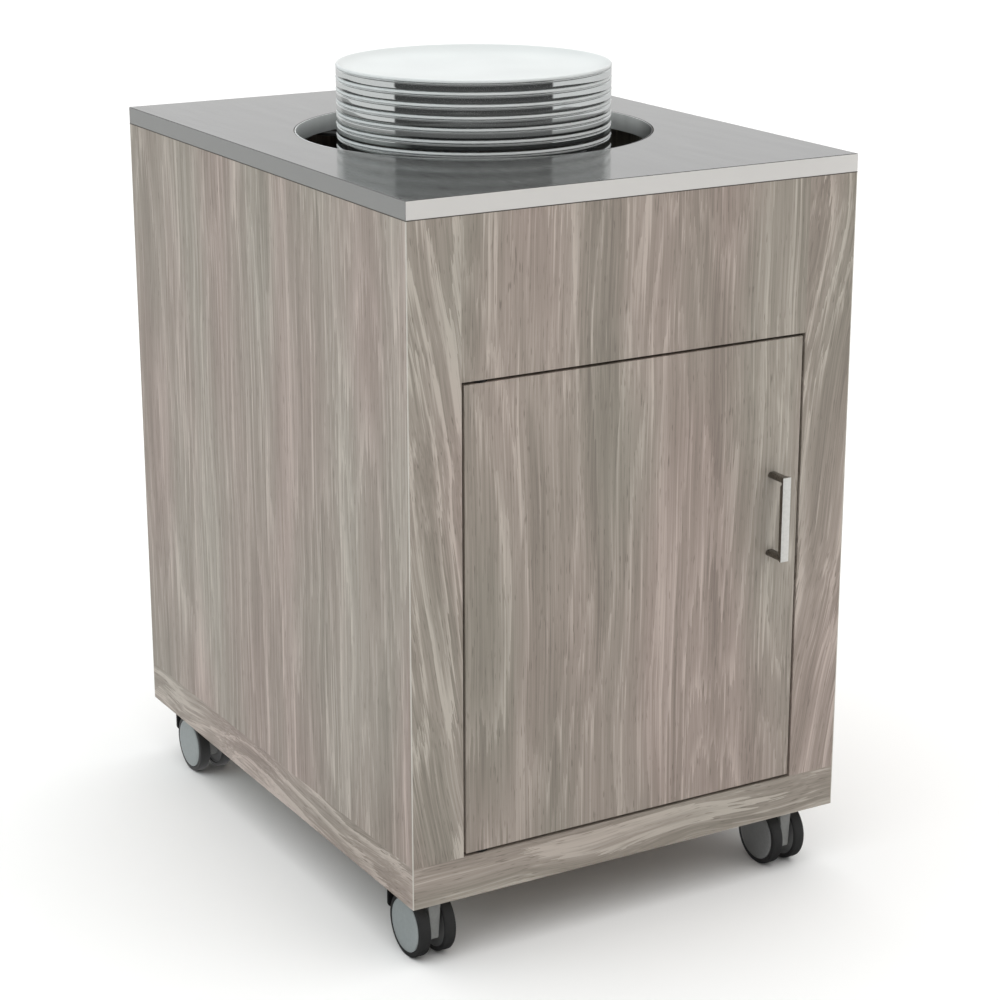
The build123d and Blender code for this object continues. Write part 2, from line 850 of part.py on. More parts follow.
half_gap = wheel_gap / 2
wheel_face = half_gap + wheel_width
slot_width = pedal_hub_width + 2 * pedal_slot_clearance
slot_front = pedal_pin_back - pedal_hub_radius - pedal_slot_clearance
slot_floor = pedal_pin_up - pedal_hub_radius - pedal_slot_clearance
slot_back = pedal_back

for place_name, (stem_x, stem_y) in caster_places.items():
    middle = across(stem_x, stem_y)

    with BuildPart() as wheels:
        for side in (-1, 1):
            with BuildSketch(middle.offset(side * half_gap)):
                Circle(wheel_radius)
                Circle(axle_radius, mode=Mode.SUBTRACT)
            extrude(amount=side * wheel_width)
    wheels.part.label = f"wheels_{place_name}"
    export_step(wheels.part, f"parts/wheels_{place_name}.step")

    with BuildPart() as caps:
        for side in (-1, 1):
            with BuildSketch(middle.offset(side * wheel_face)):
                Circle(cap_radius)
            extrude(amount=side * cap_thickness)
    caps.part.label = f"caps_{place_name}"
    export_step(caps.part, f"parts/caps_{place_name}.step")

    with BuildPart() as axle:
        with BuildSketch(middle):
            Circle(axle_radius)
        extrude(amount=wheel_face, both=True)
    axle.part.label = f"axle_{place_name}"
    export_step(axle.part, f"parts/axle_{place_name}.step")

    with BuildPart() as housing:
        with BuildSketch(middle) as side_view:
            with BuildLine():
                Polyline(
                    (-leg_front, -leg_drop),
                    (-leg_front, wheel_radius),
                    (caster_trail + leg_back, wheel_radius),
                    (caster_trail + leg_back, wheel_radius - leg_back),
                    (leg_drop, -leg_drop),
                    close=True,
                )
            make_face()
            fillet(side_view.vertices().group_by(Axis.Z)[0], leg_round)
        extrude(amount=leg_top_width / 2, both=True)
        facing = Plane(origin=(stem_x, stem_y, axle_z), x_dir=(1, 0, 0), z_dir=(0, -1, 0))
        with BuildSketch(facing):
            with BuildLine():
                Polyline(
                    (-leg_top_width / 2, wheel_radius),
                    (leg_top_width / 2, wheel_radius),
                    (leg_bottom_width / 2, -leg_drop),
                    (-leg_bottom_width / 2, -leg_drop),
                    close=True,
                )
            make_face()
        extrude(amount=leg_front + caster_trail, both=True, mode=Mode.INTERSECT)
        with BuildSketch(Plane.XY.offset(head_z)):
            with Locations((stem_x, stem_y)):
                Circle(head_radius)
        extrude(amount=head_height)
        with BuildSketch(Plane.XY.offset(head_top - stem_seat_depth)):
            with Locations((stem_x, stem_y)):
                Circle(stem_radius + stem_clearance)
        extrude(amount=stem_seat_depth, mode=Mode.SUBTRACT)
        with BuildSketch(middle):
            Circle(axle_radius + axle_clearance)
        extrude(amount=leg_top_width, both=True, mode=Mode.SUBTRACT)
        with BuildSketch(middle):
            with BuildLine():
                Polyline(
                    (slot_front, wheel_radius), (slot_front, slot_floor),
                    (slot_back, slot_floor), (slot_back, wheel_radius), close=True,
                )
            make_face()
        extrude(amount=slot_width / 2, both=True, mode=Mode.SUBTRACT)
        with BuildSketch(middle):
            with Locations((pedal_pin_back, pedal_pin_up)):
                Circle(pedal_pin_radius)
        extrude(amount=slot_width / 2 + pedal_pin_bite, both=True)
    housing.part.label = f"housing_{place_name}"
    export_step(housing.part, f"parts/housing_{place_name}.step")

    with BuildPart() as pedal:
        with BuildSketch(middle):
            with Locations((pedal_pin_back, pedal_pin_up)):
                Circle(pedal_hub_radius)
            with BuildLine():
                Polyline(
                    (pedal_pin_back, pedal_pin_up + pedal_arm / 2),
                    (pedal_back, pedal_pin_up + pedal_arm / 2),
                    (pedal_back, pedal_pin_up - pedal_arm / 2),
                    (pedal_pin_back, pedal_pin_up - pedal_arm / 2),
                    close=True,
                )
            make_face()
            with Locations((pedal_pin_back, pedal_pin_up)):
                Circle(pedal_pin_radius + pedal_pin_clearance, mode=Mode.SUBTRACT)
        extrude(amount=pedal_hub_width / 2, both=True)
        with BuildSketch(middle):
            with BuildLine():
                Polyline(
                    (pedal_back, pedal_pin_up + pedal_rise),
                    (pedal_back + pedal_plate, pedal_pin_up + pedal_rise),
                    (pedal_back + pedal_plate, pedal_pin_up - pedal_drop),
                    (pedal_back, pedal_pin_up - pedal_drop),
                    close=True,
                )
            make_face()
        extrude(amount=pedal_width / 2, both=True)
    pedal.part.label = f"pedal_{place_name}"
    export_step(pedal.part, f"parts/pedal_{place_name}.step")
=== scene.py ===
from math import cos, pi, radians, sin

import bmesh
import bpy
from mathutils import Matrix, Vector


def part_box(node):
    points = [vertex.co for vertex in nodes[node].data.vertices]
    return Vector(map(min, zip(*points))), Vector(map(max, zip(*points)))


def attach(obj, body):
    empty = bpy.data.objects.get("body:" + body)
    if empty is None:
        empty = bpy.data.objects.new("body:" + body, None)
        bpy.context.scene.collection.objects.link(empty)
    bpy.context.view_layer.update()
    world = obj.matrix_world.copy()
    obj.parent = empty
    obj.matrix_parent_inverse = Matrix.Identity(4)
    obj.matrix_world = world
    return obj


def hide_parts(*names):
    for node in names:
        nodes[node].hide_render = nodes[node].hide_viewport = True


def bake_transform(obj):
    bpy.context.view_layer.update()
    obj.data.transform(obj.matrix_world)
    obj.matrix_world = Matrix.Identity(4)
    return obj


# Mobile plate counter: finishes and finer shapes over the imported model, in metres, same frame as the parts.

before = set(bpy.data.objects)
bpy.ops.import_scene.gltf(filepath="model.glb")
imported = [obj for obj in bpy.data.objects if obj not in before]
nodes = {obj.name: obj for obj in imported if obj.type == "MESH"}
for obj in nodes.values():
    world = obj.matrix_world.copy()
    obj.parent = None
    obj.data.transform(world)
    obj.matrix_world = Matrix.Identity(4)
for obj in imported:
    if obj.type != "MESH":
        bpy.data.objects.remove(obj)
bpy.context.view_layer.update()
casterPlaces = ("front_left", "front_right", "rear_left", "rear_right")


def toLinear(code):
    # sRGB hex value to the linear colour that the shaders take
    channels = [int(code[i:i + 2], 16) / 255 for i in (1, 3, 5)]
    return [c / 12.92 if c < 0.04045 else ((c + 0.055) / 1.055) ** 2.4 for c in channels] + [1.0]


def middle(box):
    return (box[0] + box[1]) / 2


def addNode(tree, kind, settings=None, links=None):
    # one node with its settings (its own properties, or input values by name or number) and incoming links
    node = tree.nodes.new(kind)
    for key, value in (settings or {}).items():
        if isinstance(key, str) and hasattr(node, key):
            setattr(node, key, value)
        else:
            node.inputs[key].default_value = value
    for key, source in (links or {}).items():
        tree.links.new(source, node.inputs[key])
    return node


def objectPlace(tree):
    # the place in the object's own measure, and its X, Y and Z
    place = addNode(tree, "ShaderNodeTexCoord").outputs["Object"]
    return place, addNode(tree, "ShaderNodeSeparateXYZ", links={0: place}).outputs


def newMaterial(name, **sockets):
    material = bpy.data.materials.new(name)
    material.use_nodes = True
    shader = material.node_tree.nodes["Principled BSDF"]
    for key, value in sockets.items():
        shader.inputs[key.replace("_", " ")].default_value = value
    return material, material.node_tree, shader


# Camera, at the photograph's place

cameraView = {
    "place": (-1.30507, -2.29131, 1.19080),
    "down": 17.4046,       # degrees below level
    "turn": -30.1304,
    "lens": 90.788,        # millimetres, as is the sensor
    "sensor": 36,
}
camera = bpy.data.objects.new("camera", bpy.data.cameras.new("camera"))
bpy.context.scene.collection.objects.link(camera)
camera.location = cameraView["place"]
camera.rotation_euler = (radians(90 - cameraView["down"]), 0, radians(cameraView["turn"]))
camera.data.lens = cameraView["lens"]
camera.data.sensor_width = cameraView["sensor"]
bpy.context.scene.camera = camera
bpy.context.scene.view_settings.view_transform = "Standard"
print("camera set")


# Laminate: printed ash decor in greige under a satin melamine overlay, so its fine grain has little gloss

ashLook = {
    "tones": ((0.2, "#877f79"), (0.42, "#9b938c"), (0.6, "#aaa19b"), (0.85, "#c4bcb6")),
    "level": 0.47,            # where the plain ground lies between the tones
    "warm": "#faf1ed",        # the print drifts between a warm and a cool grey
    "cool": "#f3f4ed",
    "castScale": 9.0,
    "castStretch": 0.25,
    "castRange": (0.36, 0.64),
    "driftScale": 3.4,        # the slow wander of the grain's direction
    "driftDetail": 1.5,
    "bandWidth": 0.03,        # broad lighter and darker bands along the grain
    "bandStretch": 0.05,
    "bandShare": 0.6,
    "lineWidth": 0.0034,      # sharp growth lines
    "lineShare": 0.6,
    "paleRange": (0.6, 0.74),
    "paleShare": 0.2,         # the palest of them stand out
    "fibreWidth": 0.0013,     # wider than the real fibre, to show at this size
    "fibreShare": 0.42,
    "fibreStretch": 0.012,
    "figureWidth": 0.085,     # width of one cathedral figure
    "figureStretch": 0.13,
    "figureDetail": 0.6,
    "rings": 11.0,            # light ring outlines across one figure
    "ringEdge": 0.42,         # share of a ring over which its outline fades
    "ringShare": 0.2,
    "spike": 0.2,             # how far the fibres draw out a ring's outline
    "poreWidth": 0.0011,
    "poreLength": 0.016,
    "poreRange": (0.7, 0.8),
    "poreShare": 0.3,
    "relief": 0.00005,
    "reliefStrength": 0.35,
    "satin": (0.55, 0.42),    # roughness between the fibres and on them
    "arris": 0.0009,          # painted highlight: a light line down each corner
    "cornerHighlightTone": "#cbc7bf",
    "gapShadow": 0.0009,          # painted shadow: a dark line under the worktop, where the gap lies in shade
    "gapShadowTone": "#4a453e",
}
cabinetLow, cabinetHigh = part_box("side_panel_left")
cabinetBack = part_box("back_panel")[1].y
cabinetMiddle = (cabinetBack + cabinetLow.y) / 2


def makeAsh(name, grainTurn, swirl, shift, figureShare=1.0):
    # grainTurn brings the grain's direction to Z, swirl is how far the figure wanders
    look = ashLook
    material, tree, shader = newMaterial(name, Specular_IOR_Level=0.4)
    place, spot = objectPlace(tree)
    turned = addNode(tree, "ShaderNodeMapping", {
        "Rotation": [radians(a) for a in grainTurn], "Location": shift,
    }, {"Vector": place}).outputs[0]
    drift = addNode(tree, "ShaderNodeTexNoise", {
        "Scale": look["driftScale"], "Detail": look["driftDetail"],
    }, {"Vector": turned})
    centred = addNode(tree, "ShaderNodeVectorMath", {
        "operation": "SUBTRACT", 1: (0.5, 0.5, 0.5),
    }, {0: drift.outputs["Color"]}).outputs[0]
    wander = addNode(tree, "ShaderNodeVectorMath", {
        "operation": "MULTIPLY_ADD", 1: (swirl, swirl, swirl),
    }, {0: centred, 2: turned}).outputs[0]

    def grain(width, stretch, detail, roughness=0.5):
        # noise drawn out along the grain
        drawn = addNode(tree, "ShaderNodeMapping", {"Scale": (1, 1, stretch)}, {"Vector": wander})
        return addNode(tree, "ShaderNodeTexNoise", {
            "Scale": 1 / width, "Detail": detail, "Roughness": roughness,
        }, {"Vector": drawn.outputs[0]}).outputs[0]

    def addShare(value, share, total):
        # total plus the share of a value that swings about one half
        offset = addNode(tree, "ShaderNodeMath", {"operation": "SUBTRACT", 1: 0.5}, {0: value})
        return addNode(tree, "ShaderNodeMath", {
            "operation": "MULTIPLY_ADD", 1: share,
        }, {0: offset.outputs[0], 2: total}).outputs[0]

    def addMark(value, limits, share, total):
        # total plus the share where the value passes the limits
        mark = addNode(tree, "ShaderNodeMapRange", {
            "From Min": limits[0], "From Max": limits[1],
        }, {"Value": value})
        return addNode(tree, "ShaderNodeMath", {
            "operation": "MULTIPLY_ADD", 1: share,
        }, {0: mark.outputs[0], 2: total}).outputs[0]

    # cathedral figure: light outlines of rings, drawn out by the fibres
    fibre = grain(look["fibreWidth"], look["fibreStretch"], 1.0)
    line = grain(look["lineWidth"], look["fibreStretch"], 2.0, 0.6)
    lift = addNode(tree, "ShaderNodeMath", {"operation": "MULTIPLY", 1: look["spike"]}, {0: line})
    raised = addNode(tree, "ShaderNodeCombineXYZ", links={"Z": lift.outputs[0]})
    drawnOut = addNode(tree, "ShaderNodeVectorMath", {"operation": "ADD"}, {0: wander, 1: raised.outputs[0]})
    figureSpot = addNode(tree, "ShaderNodeMapping", {
        "Scale": (1, 1, look["figureStretch"]),
    }, {"Vector": drawnOut.outputs[0]})
    figure = addNode(tree, "ShaderNodeTexNoise", {
        "Scale": 1 / look["figureWidth"], "Detail": look["figureDetail"],
    }, {"Vector": figureSpot.outputs[0]}).outputs[0]
    rings = addNode(tree, "ShaderNodeMath", {"operation": "MULTIPLY", 1: look["rings"]}, {0: figure})
    ring = addNode(tree, "ShaderNodeMath", {"operation": "FRACT"}, {0: rings.outputs[0]})
    outline = addNode(tree, "ShaderNodeMapRange", {
        "interpolation_type": "SMOOTHSTEP", "From Max": look["ringEdge"], "To Min": 1.0, "To Max": 0.0,
    }, {"Value": ring.outputs[0]})
    total = addNode(tree, "ShaderNodeMath", {
        "operation": "MULTIPLY_ADD", 1: look["ringShare"] * figureShare, 2: look["level"],
    }, {0: outline.outputs[0]}).outputs[0]

    # bands, growth lines, fibres and pores
    total = addShare(grain(look["bandWidth"], look["bandStretch"], 1.0), look["bandShare"], total)
    total = addShare(line, look["lineShare"], total)
    total = addMark(line, look["paleRange"], look["paleShare"], total)
    total = addShare(fibre, look["fibreShare"], total)
    pore = grain(look["poreWidth"], look["poreWidth"] / look["poreLength"], 0.0)
    total = addMark(pore, look["poreRange"], -look["poreShare"], total)

    ramp = addNode(tree, "ShaderNodeValToRGB", links={"Fac": total})
    stops = ramp.color_ramp.elements
    while len(stops) < len(look["tones"]):
        stops.new(0.5)
    for stop, (position, code) in zip(stops, look["tones"]):
        stop.position = position
        stop.color = toLinear(code)
    castSpot = addNode(tree, "ShaderNodeMapping", {"Scale": (1, 1, look["castStretch"])}, {"Vector": turned})
    cast = addNode(tree, "ShaderNodeTexNoise", {
        "Scale": look["castScale"], "Detail": 1.0,
    }, {"Vector": castSpot.outputs[0]})
    castAmount = addNode(tree, "ShaderNodeMapRange", {
        "From Min": look["castRange"][0], "From Max": look["castRange"][1],
    }, {"Value": cast.outputs[0]})
    castTone = addNode(tree, "ShaderNodeMix", {
        "data_type": "RGBA", 6: toLinear(look["cool"]), 7: toLinear(look["warm"]),
    }, {0: castAmount.outputs[0]})
    tinted = addNode(tree, "ShaderNodeMix", {
        "data_type": "RGBA", "blend_type": "MULTIPLY", 0: 1.0,
    }, {6: ramp.outputs[0], 7: castTone.outputs[2]})

    def beyond(value, centre, limit):
        # 1 where the value is further than the limit from the centre
        offset = addNode(tree, "ShaderNodeMath", {"operation": "SUBTRACT", 1: centre}, {0: value})
        distance = addNode(tree, "ShaderNodeMath", {"operation": "ABSOLUTE"}, {0: offset.outputs[0]})
        return addNode(tree, "ShaderNodeMath", {
            "operation": "GREATER_THAN", 1: limit,
        }, {0: distance.outputs[0]}).outputs[0]

    # painted highlight: a light line down each outer corner of the cabinet
    corner = addNode(tree, "ShaderNodeMath", {"operation": "MULTIPLY"}, {
        0: beyond(spot["X"], 0, -cabinetLow.x - look["arris"]),
        1: beyond(spot["Y"], cabinetMiddle, cabinetBack - cabinetMiddle - look["arris"]),
    })
    withCorner = addNode(tree, "ShaderNodeMix", {
        "data_type": "RGBA", 7: toLinear(look["cornerHighlightTone"]),
    }, {0: corner.outputs[0], 6: tinted.outputs[2]})
    # painted shadow: a dark line along the top of each piece, under the worktop
    withJoint = addNode(tree, "ShaderNodeMix", {"data_type": "RGBA", 7: toLinear(look["gapShadowTone"])}, {
        0: beyond(spot["Z"], 0, cabinetHigh.z - look["gapShadow"]), 6: withCorner.outputs[2],
    })
    tree.links.new(withJoint.outputs[2], shader.inputs["Base Color"])
    satin = addNode(tree, "ShaderNodeMapRange", {
        "To Min": look["satin"][0], "To Max": look["satin"][1],
    }, {"Value": fibre})
    tree.links.new(satin.outputs[0], shader.inputs["Roughness"])
    bump = addNode(tree, "ShaderNodeBump", {
        "Strength": look["reliefStrength"], "Distance": look["relief"],
    }, {"Height": total})
    tree.links.new(bump.outputs[0], shader.inputs["Normal"])
    return material


ashUpright = makeAsh("ashLaminateUpright", (0, 0, 0), 0.018, shift=(0, 0, 0))
ashStileLeft = makeAsh("ashLaminateStileLeft", (0, 9, 0), 0.05, shift=(0.31, 0.2, 0.4), figureShare=1.8)
ashStileRight = makeAsh("ashLaminateStileRight", (0, -9, 0), 0.05, shift=(0.71, 0.5, 0.1), figureShare=1.8)
ashRailAcross = makeAsh("ashLaminateRailAcross", (0, 90, 0), 0.07, shift=(0.1, 0.4, 0.2), figureShare=1.9)
ashRailDeep = makeAsh("ashLaminateRailDeep", (90, 0, 0), 0.07, shift=(0.6, 0.1, 0.7), figureShare=1.9)


# Plain finishes, each with its own fine grain

grainLook = {
    "detail": 3.0,
    "range": (0.3, 0.7),          # what the noise swings between
    "bumpStrength": 0.5,
    "cloudScale": 0.25,           # slow clouds of tone, four grains wide
    "cloudDetail": 2.0,
    "cloudTones": (0.94, 1.04),
}


def makeGrained(name, colour, roughness, grain, contrast, metallic=0.0, stretch=(1, 1, 1), relief=0.0):
    # grain is the grain's size, contrast how far it moves the roughness
    look = grainLook
    colour = toLinear(colour)
    material, tree, shader = newMaterial(name, Base_Color=colour, Metallic=metallic, Roughness=roughness)
    place = addNode(tree, "ShaderNodeTexCoord").outputs["Object"]
    shaped = addNode(tree, "ShaderNodeMapping", {"Scale": stretch}, {"Vector": place}).outputs[0]
    noise = addNode(tree, "ShaderNodeTexNoise", {
        "Scale": 1 / grain, "Detail": look["detail"],
    }, {"Vector": shaped})
    spread = addNode(tree, "ShaderNodeMapRange", {
        "From Min": look["range"][0], "From Max": look["range"][1],
        "To Min": roughness - contrast, "To Max": roughness + contrast,
    }, {"Value": noise.outputs[0]})
    tree.links.new(spread.outputs[0], shader.inputs["Roughness"])
    if relief:
        bump = addNode(tree, "ShaderNodeBump", {
            "Strength": look["bumpStrength"], "Distance": relief,
        }, {"Height": noise.outputs[0]})
        tree.links.new(bump.outputs[0], shader.inputs["Normal"])
    cloud = addNode(tree, "ShaderNodeTexNoise", {
        "Scale": look["cloudScale"] / grain, "Detail": look["cloudDetail"],
    }, {"Vector": shaped})
    shade = addNode(tree, "ShaderNodeMapRange", {
        "From Min": look["range"][0], "From Max": look["range"][1],
        "To Min": look["cloudTones"][0], "To Max": look["cloudTones"][1],
    }, {"Value": cloud.outputs[0]})
    tone = addNode(tree, "ShaderNodeVectorMath", {
        "operation": "SCALE", 0: colour[:3],
    }, {"Scale": shade.outputs[0]})
    tree.links.new(tone.outputs[0], shader.inputs["Base Color"])
    return material


# Satin stainless sheet, ground to a fine even grain: reflections keep their shape and go soft
satinStainless = makeGrained("satinStainlessSheet", "#9a9a99", 0.11, 0.004, 0.03,
                             metallic=1.0, stretch=(1, 0.15, 1))
# The same sheet rolled for the collar, pickled dull inside the well
rolledStainless = makeGrained("rolledStainlessCollar", "#d6d9d8", 0.42, 0.004, 0.04,
                              metallic=0.1, stretch=(1, 1, 0.1))
# Powder coat, baked on in black: orange-peel skin with a low sheen
powderCoat = makeGrained("blackPowderCoat", "#2a2a29", 0.5, 0.0012, 0.06, relief=0.00004)
# Ground steel rod, hard and bright
groundRod = makeGrained("groundSteelRod", "#c3c4c6", 0.22, 0.002, 0.04, metallic=1.0, stretch=(1, 1, 0.05))
# Zinc plate, passivated: slightly clouded silver
zincPlate = makeGrained("zincPlate", "#bfc0c2", 0.36, 0.003, 0.06, metallic=1.0)
# Patented spring wire, drawn and oiled: dark bright steel
springWire = makeGrained("drawnSpringWire", "#8e8f90", 0.3, 0.002, 0.05, metallic=1.0)
# Moulded rubber buffer: matt black
mouldedRubber = makeGrained("mouldedRubber", "#232323", 0.78, 0.001, 0.06, relief=0.00005)
# Nylon, moulded and left natural: milky, waxy
naturalNylon = makeGrained("naturalNylon", "#dcd9cd", 0.45, 0.002, 0.05)
# ABS, moulded dark brown for the catch
brownAbs = makeGrained("brownAbs", "#3b342d", 0.5, 0.001, 0.05, relief=0.00003)
# Raw particle board between the sheets: straw-coloured chips
rawBoard = makeGrained("rawBoard", "#a48e6d", 0.85, 0.003, 0.05, relief=0.0002)
# Anodised aluminium, drawn along the bar: dark and bright where it is left as drawn
anodisedBar = makeGrained("anodisedBar", "#7d7973", 0.3, 0.0008, 0.05, metallic=1.0, stretch=(1, 1, 0.04))
# Its front face: pale and even, barely metallic, painted light
blastedFace = makeGrained("blastedFace", "#dad9d5", 0.4, 0.0008, 0.05, metallic=0.1)
# Porcelain under a clear glaze: even cool white, bright on lips and in the well
glazedPorcelain = makeGrained("glazedPorcelain", "#dee2e1", 0.3, 0.03, 0.02)
# Polished wall of the plate: mirrors the room in a sharp, slightly cool picture
polishedWall = makeGrained("polishedWall", "#eef2f1", 0.04, 0.03, 0.01, metallic=0.97)
# Polyamide caster body, moulded mid grey with a fine spark-eroded skin
greyPolyamide = makeGrained("greyPolyamide", "#8e8f8d", 0.46, 0.0009, 0.05, relief=0.00003)
# Cap of the wheel in the same plastic, a shade cooler
capPolyamide = makeGrained("capPolyamide", "#979d9d", 0.4, 0.0009, 0.04, relief=0.00002)
# Inner web of the wheel, a shade darker, and the cap on the caster's inward side, where the darker tone is
# painted shade
webPolyamide = makeGrained("webPolyamide", "#838484", 0.5, 0.0009, 0.05, relief=0.00003)
# Thermoplastic tread, moulded black with a silky skin
blackTread = makeGrained("blackTread", "#303030", 0.52, 0.0012, 0.06, relief=0.00004)
# Black polyamide of pedals and pivot bushes: dull, with the same skin
blackPolyamide = makeGrained("blackPolyamide", "#1f1f20", 0.48, 0.0009, 0.05, relief=0.00003)


# Where the two stainless pieces differ from their flat sheet, with painted light and shade on the top's edges
# and the collar's front

sheetLook = {
    "skin": 0.0005,          # what lies less than this below the top still belongs to it
    "side": 0.0004,
    # painted light and shade: a pale tone on the edges below the top, a darker one on the left edge
    "edge": "#e2e0dd",
    "leftEdge": "#8b8b89",
    "holeShadowLine": "#1d1d1c",   # painted shadow: a dark line round the well
    "holeReach": 0.2,
    "edgeMetal": 0.15,
    "shadeFrom": 0.09,       # distances before the well's middle between which the collar's colour darkens: painted shade
    "shadeTo": 0.03,
    "shade": 0.05,
}
wellMiddle = middle(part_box("well_collar"))


def groundEdges(material):
    # painted light and shade on the folded edges, made less metallic: a pale tone, darker on the left edge,
    # and a painted shadow line round the well
    tree = material.node_tree
    shader = tree.nodes["Principled BSDF"]
    sheetLow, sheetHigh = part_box("steel_top")
    place, spot = objectPlace(tree)
    below = addNode(tree, "ShaderNodeMath", {
        "operation": "LESS_THAN", 1: sheetHigh.z - sheetLook["skin"],
    }, {0: spot["Z"]})
    leftward = addNode(tree, "ShaderNodeMath", {
        "operation": "LESS_THAN", 1: sheetLow.x + sheetLook["side"],
    }, {0: spot["X"]})
    outerTone = addNode(tree, "ShaderNodeMix", {
        "data_type": "RGBA", 6: toLinear(sheetLook["edge"]), 7: toLinear(sheetLook["leftEdge"]),
    }, {0: leftward.outputs[0]})
    fromWell = addNode(tree, "ShaderNodeVectorMath", {"operation": "SUBTRACT", 1: wellMiddle}, {0: place})
    level = addNode(tree, "ShaderNodeVectorMath", {
        "operation": "MULTIPLY", 1: (1, 1, 0),
    }, {0: fromWell.outputs[0]})
    reach = addNode(tree, "ShaderNodeVectorMath", {"operation": "LENGTH"}, {0: level.outputs[0]})
    # painted shadow line on the faces round the well
    atHole = addNode(tree, "ShaderNodeMath", {
        "operation": "LESS_THAN", 1: sheetLook["holeReach"],
    }, {0: reach.outputs["Value"]})
    edgeTone = addNode(tree, "ShaderNodeMix", {
        "data_type": "RGBA", 7: toLinear(sheetLook["holeShadowLine"]),
    }, {0: atHole.outputs[0], 6: outerTone.outputs[2]})
    topTone = shader.inputs["Base Color"].links[0].from_socket
    tone = addNode(tree, "ShaderNodeMix", {"data_type": "RGBA"}, {
        0: below.outputs[0], 6: topTone, 7: edgeTone.outputs[2],
    })
    tree.links.new(tone.outputs[2], shader.inputs["Base Color"])
    metal = addNode(tree, "ShaderNodeMapRange", {
        "To Min": 1.0, "To Max": sheetLook["edgeMetal"],
    }, {"Value": below.outputs[0]})
    tree.links.new(metal.outputs[0], shader.inputs["Metallic"])


def shadedFront(material):
    # painted shade: the collar's colour darkens towards its front, which faces away from the room, where only
    # the plates mirror it
    tree = material.node_tree
    shader = tree.nodes["Principled BSDF"]
    spot = objectPlace(tree)[1]
    shade = addNode(tree, "ShaderNodeMapRange", {
        "From Min": wellMiddle.y - sheetLook["shadeFrom"], "From Max": wellMiddle.y - sheetLook["shadeTo"],
        "To Min": sheetLook["shade"],
    }, {"Value": spot["Y"]})
    tone = shader.inputs["Base Color"].links[0].from_socket
    shaded = addNode(tree, "ShaderNodeVectorMath", {"operation": "SCALE"}, {
        0: tone, "Scale": shade.outputs[0],
    })
    tree.links.new(shaded.outputs[0], shader.inputs["Base Color"])


groundEdges(satinStainless)
shadedFront(rolledStainless)
print("materials made")


# CAD nodes that keep their shape: edges eased by the width given, round ones shaded smooth

nodeFinish = {
    "weld": 0.00001,
    "easeAngle": 40,         # degrees past which an edge is eased
    "splitAngle": 32,        # and past which turned faces meet in a sharp edge
    "segments": 2,
    "topEdge": 0.0003,
    "collarEdge": 0.0002,
    "bracketEdge": 0.0003,
    "strikeEdge": 0.0002,
    "catchEdge": 0.0006,
}


def finishNode(name, material, eased=0.0, turned=False):
    node = nodes[name]
    node.data.materials.clear()
    node.data.materials.append(material)
    weld = node.modifiers.new("weld", "WELD")
    weld.merge_threshold = nodeFinish["weld"]
    if eased:
        bevel = node.modifiers.new("easedEdges", "BEVEL")
        bevel.width = eased
        bevel.segments = nodeFinish["segments"]
        bevel.limit_method = "ANGLE"
        bevel.angle_limit = radians(nodeFinish["easeAngle"])
        bevel.use_clamp_overlap = False
    if turned:
        for face in node.data.polygons:
            face.use_smooth = True
        split = node.modifiers.new("sharpEdges", "EDGE_SPLIT")
        split.split_angle = radians(nodeFinish["splitAngle"])


for name in ("side_panel_left", "side_panel_right", "back_panel", "apron"):
    finishNode(name, ashUpright)
finishNode("stile_left", ashStileLeft)
finishNode("stile_right", ashStileRight)
for name in ("plinth_front", "plinth_back", "base_board"):
    finishNode(name, ashRailAcross)
for name in ("plinth_left", "plinth_right"):
    finishNode(name, ashRailDeep)
finishNode("steel_top", satinStainless, nodeFinish["topEdge"])
finishNode("top_core", rawBoard)
finishNode("well_collar", rolledStainless, nodeFinish["collarEdge"], turned=True)
for name in ("base_ring", "upper_spider", "lower_spider", "plate_platform", "plate_guides", "pivot_pins"):
    finishNode(name, powderCoat, turned=True)
finishNode("corner_brackets", powderCoat, nodeFinish["bracketEdge"])
for name in ("guide_posts", "carriage_struts"):
    finishNode(name, groundRod, turned=True)
for name in ("collar_screws", "bracket_screws", "handle_screws", "stem_inserts", "spring_anchors",
             "caster_stems"):
    finishNode(name, zincPlate, turned=True)
for place in casterPlaces:
    finishNode(f"axle_{place}", zincPlate, turned=True)
finishNode("catch_strike", zincPlate, nodeFinish["strikeEdge"])
finishNode("stop_bumpers", mouldedRubber, turned=True)
finishNode("guide_bushes", naturalNylon, turned=True)
finishNode("pivot_bushes", blackPolyamide, turned=True)
finishNode("magnet_catch", brownAbs, nodeFinish["catchEdge"])
print("CAD nodes finished")


# Modelling helpers

meshWork = {
    "seed": 0.001,           # small plane that shrinks to a profile's first point
    "merge": 0.000005,
    "near": 0.0001,          # what lies closer than this to a level counts as on it
    "facing": 0.9,           # least share of its normal for a face that looks along an axis
}


def openPiece():
    bpy.ops.object.select_all(action="DESELECT")


def takeUp(piece):
    # makes it the only selected piece, and the active one
    openPiece()
    piece.select_set(True)
    bpy.context.view_layer.objects.active = piece


def applyPlace():
    # brings place, turn and scale of what is selected into its mesh
    bpy.ops.object.transform_apply(location=True, rotation=True, scale=True)


def addBlock(centre, size):
    openPiece()
    bpy.ops.mesh.primitive_cube_add(size=1, location=centre, scale=size)
    applyPlace()
    return bpy.context.object


def addPin(sides, radius, length, centre, turn=(0, 0, 0)):
    openPiece()
    bpy.ops.mesh.primitive_cylinder_add(vertices=sides, radius=radius, depth=length, location=centre,
                                        rotation=turn)
    applyPlace()
    return bpy.context.object


def addModifier(kind, **settings):
    # applied at once to the active piece
    piece = bpy.context.object
    modifier = piece.modifiers.new(kind.lower(), kind)
    for key, value in settings.items():
        setattr(modifier, key, value)
    bpy.ops.object.modifier_apply(modifier=modifier.name)


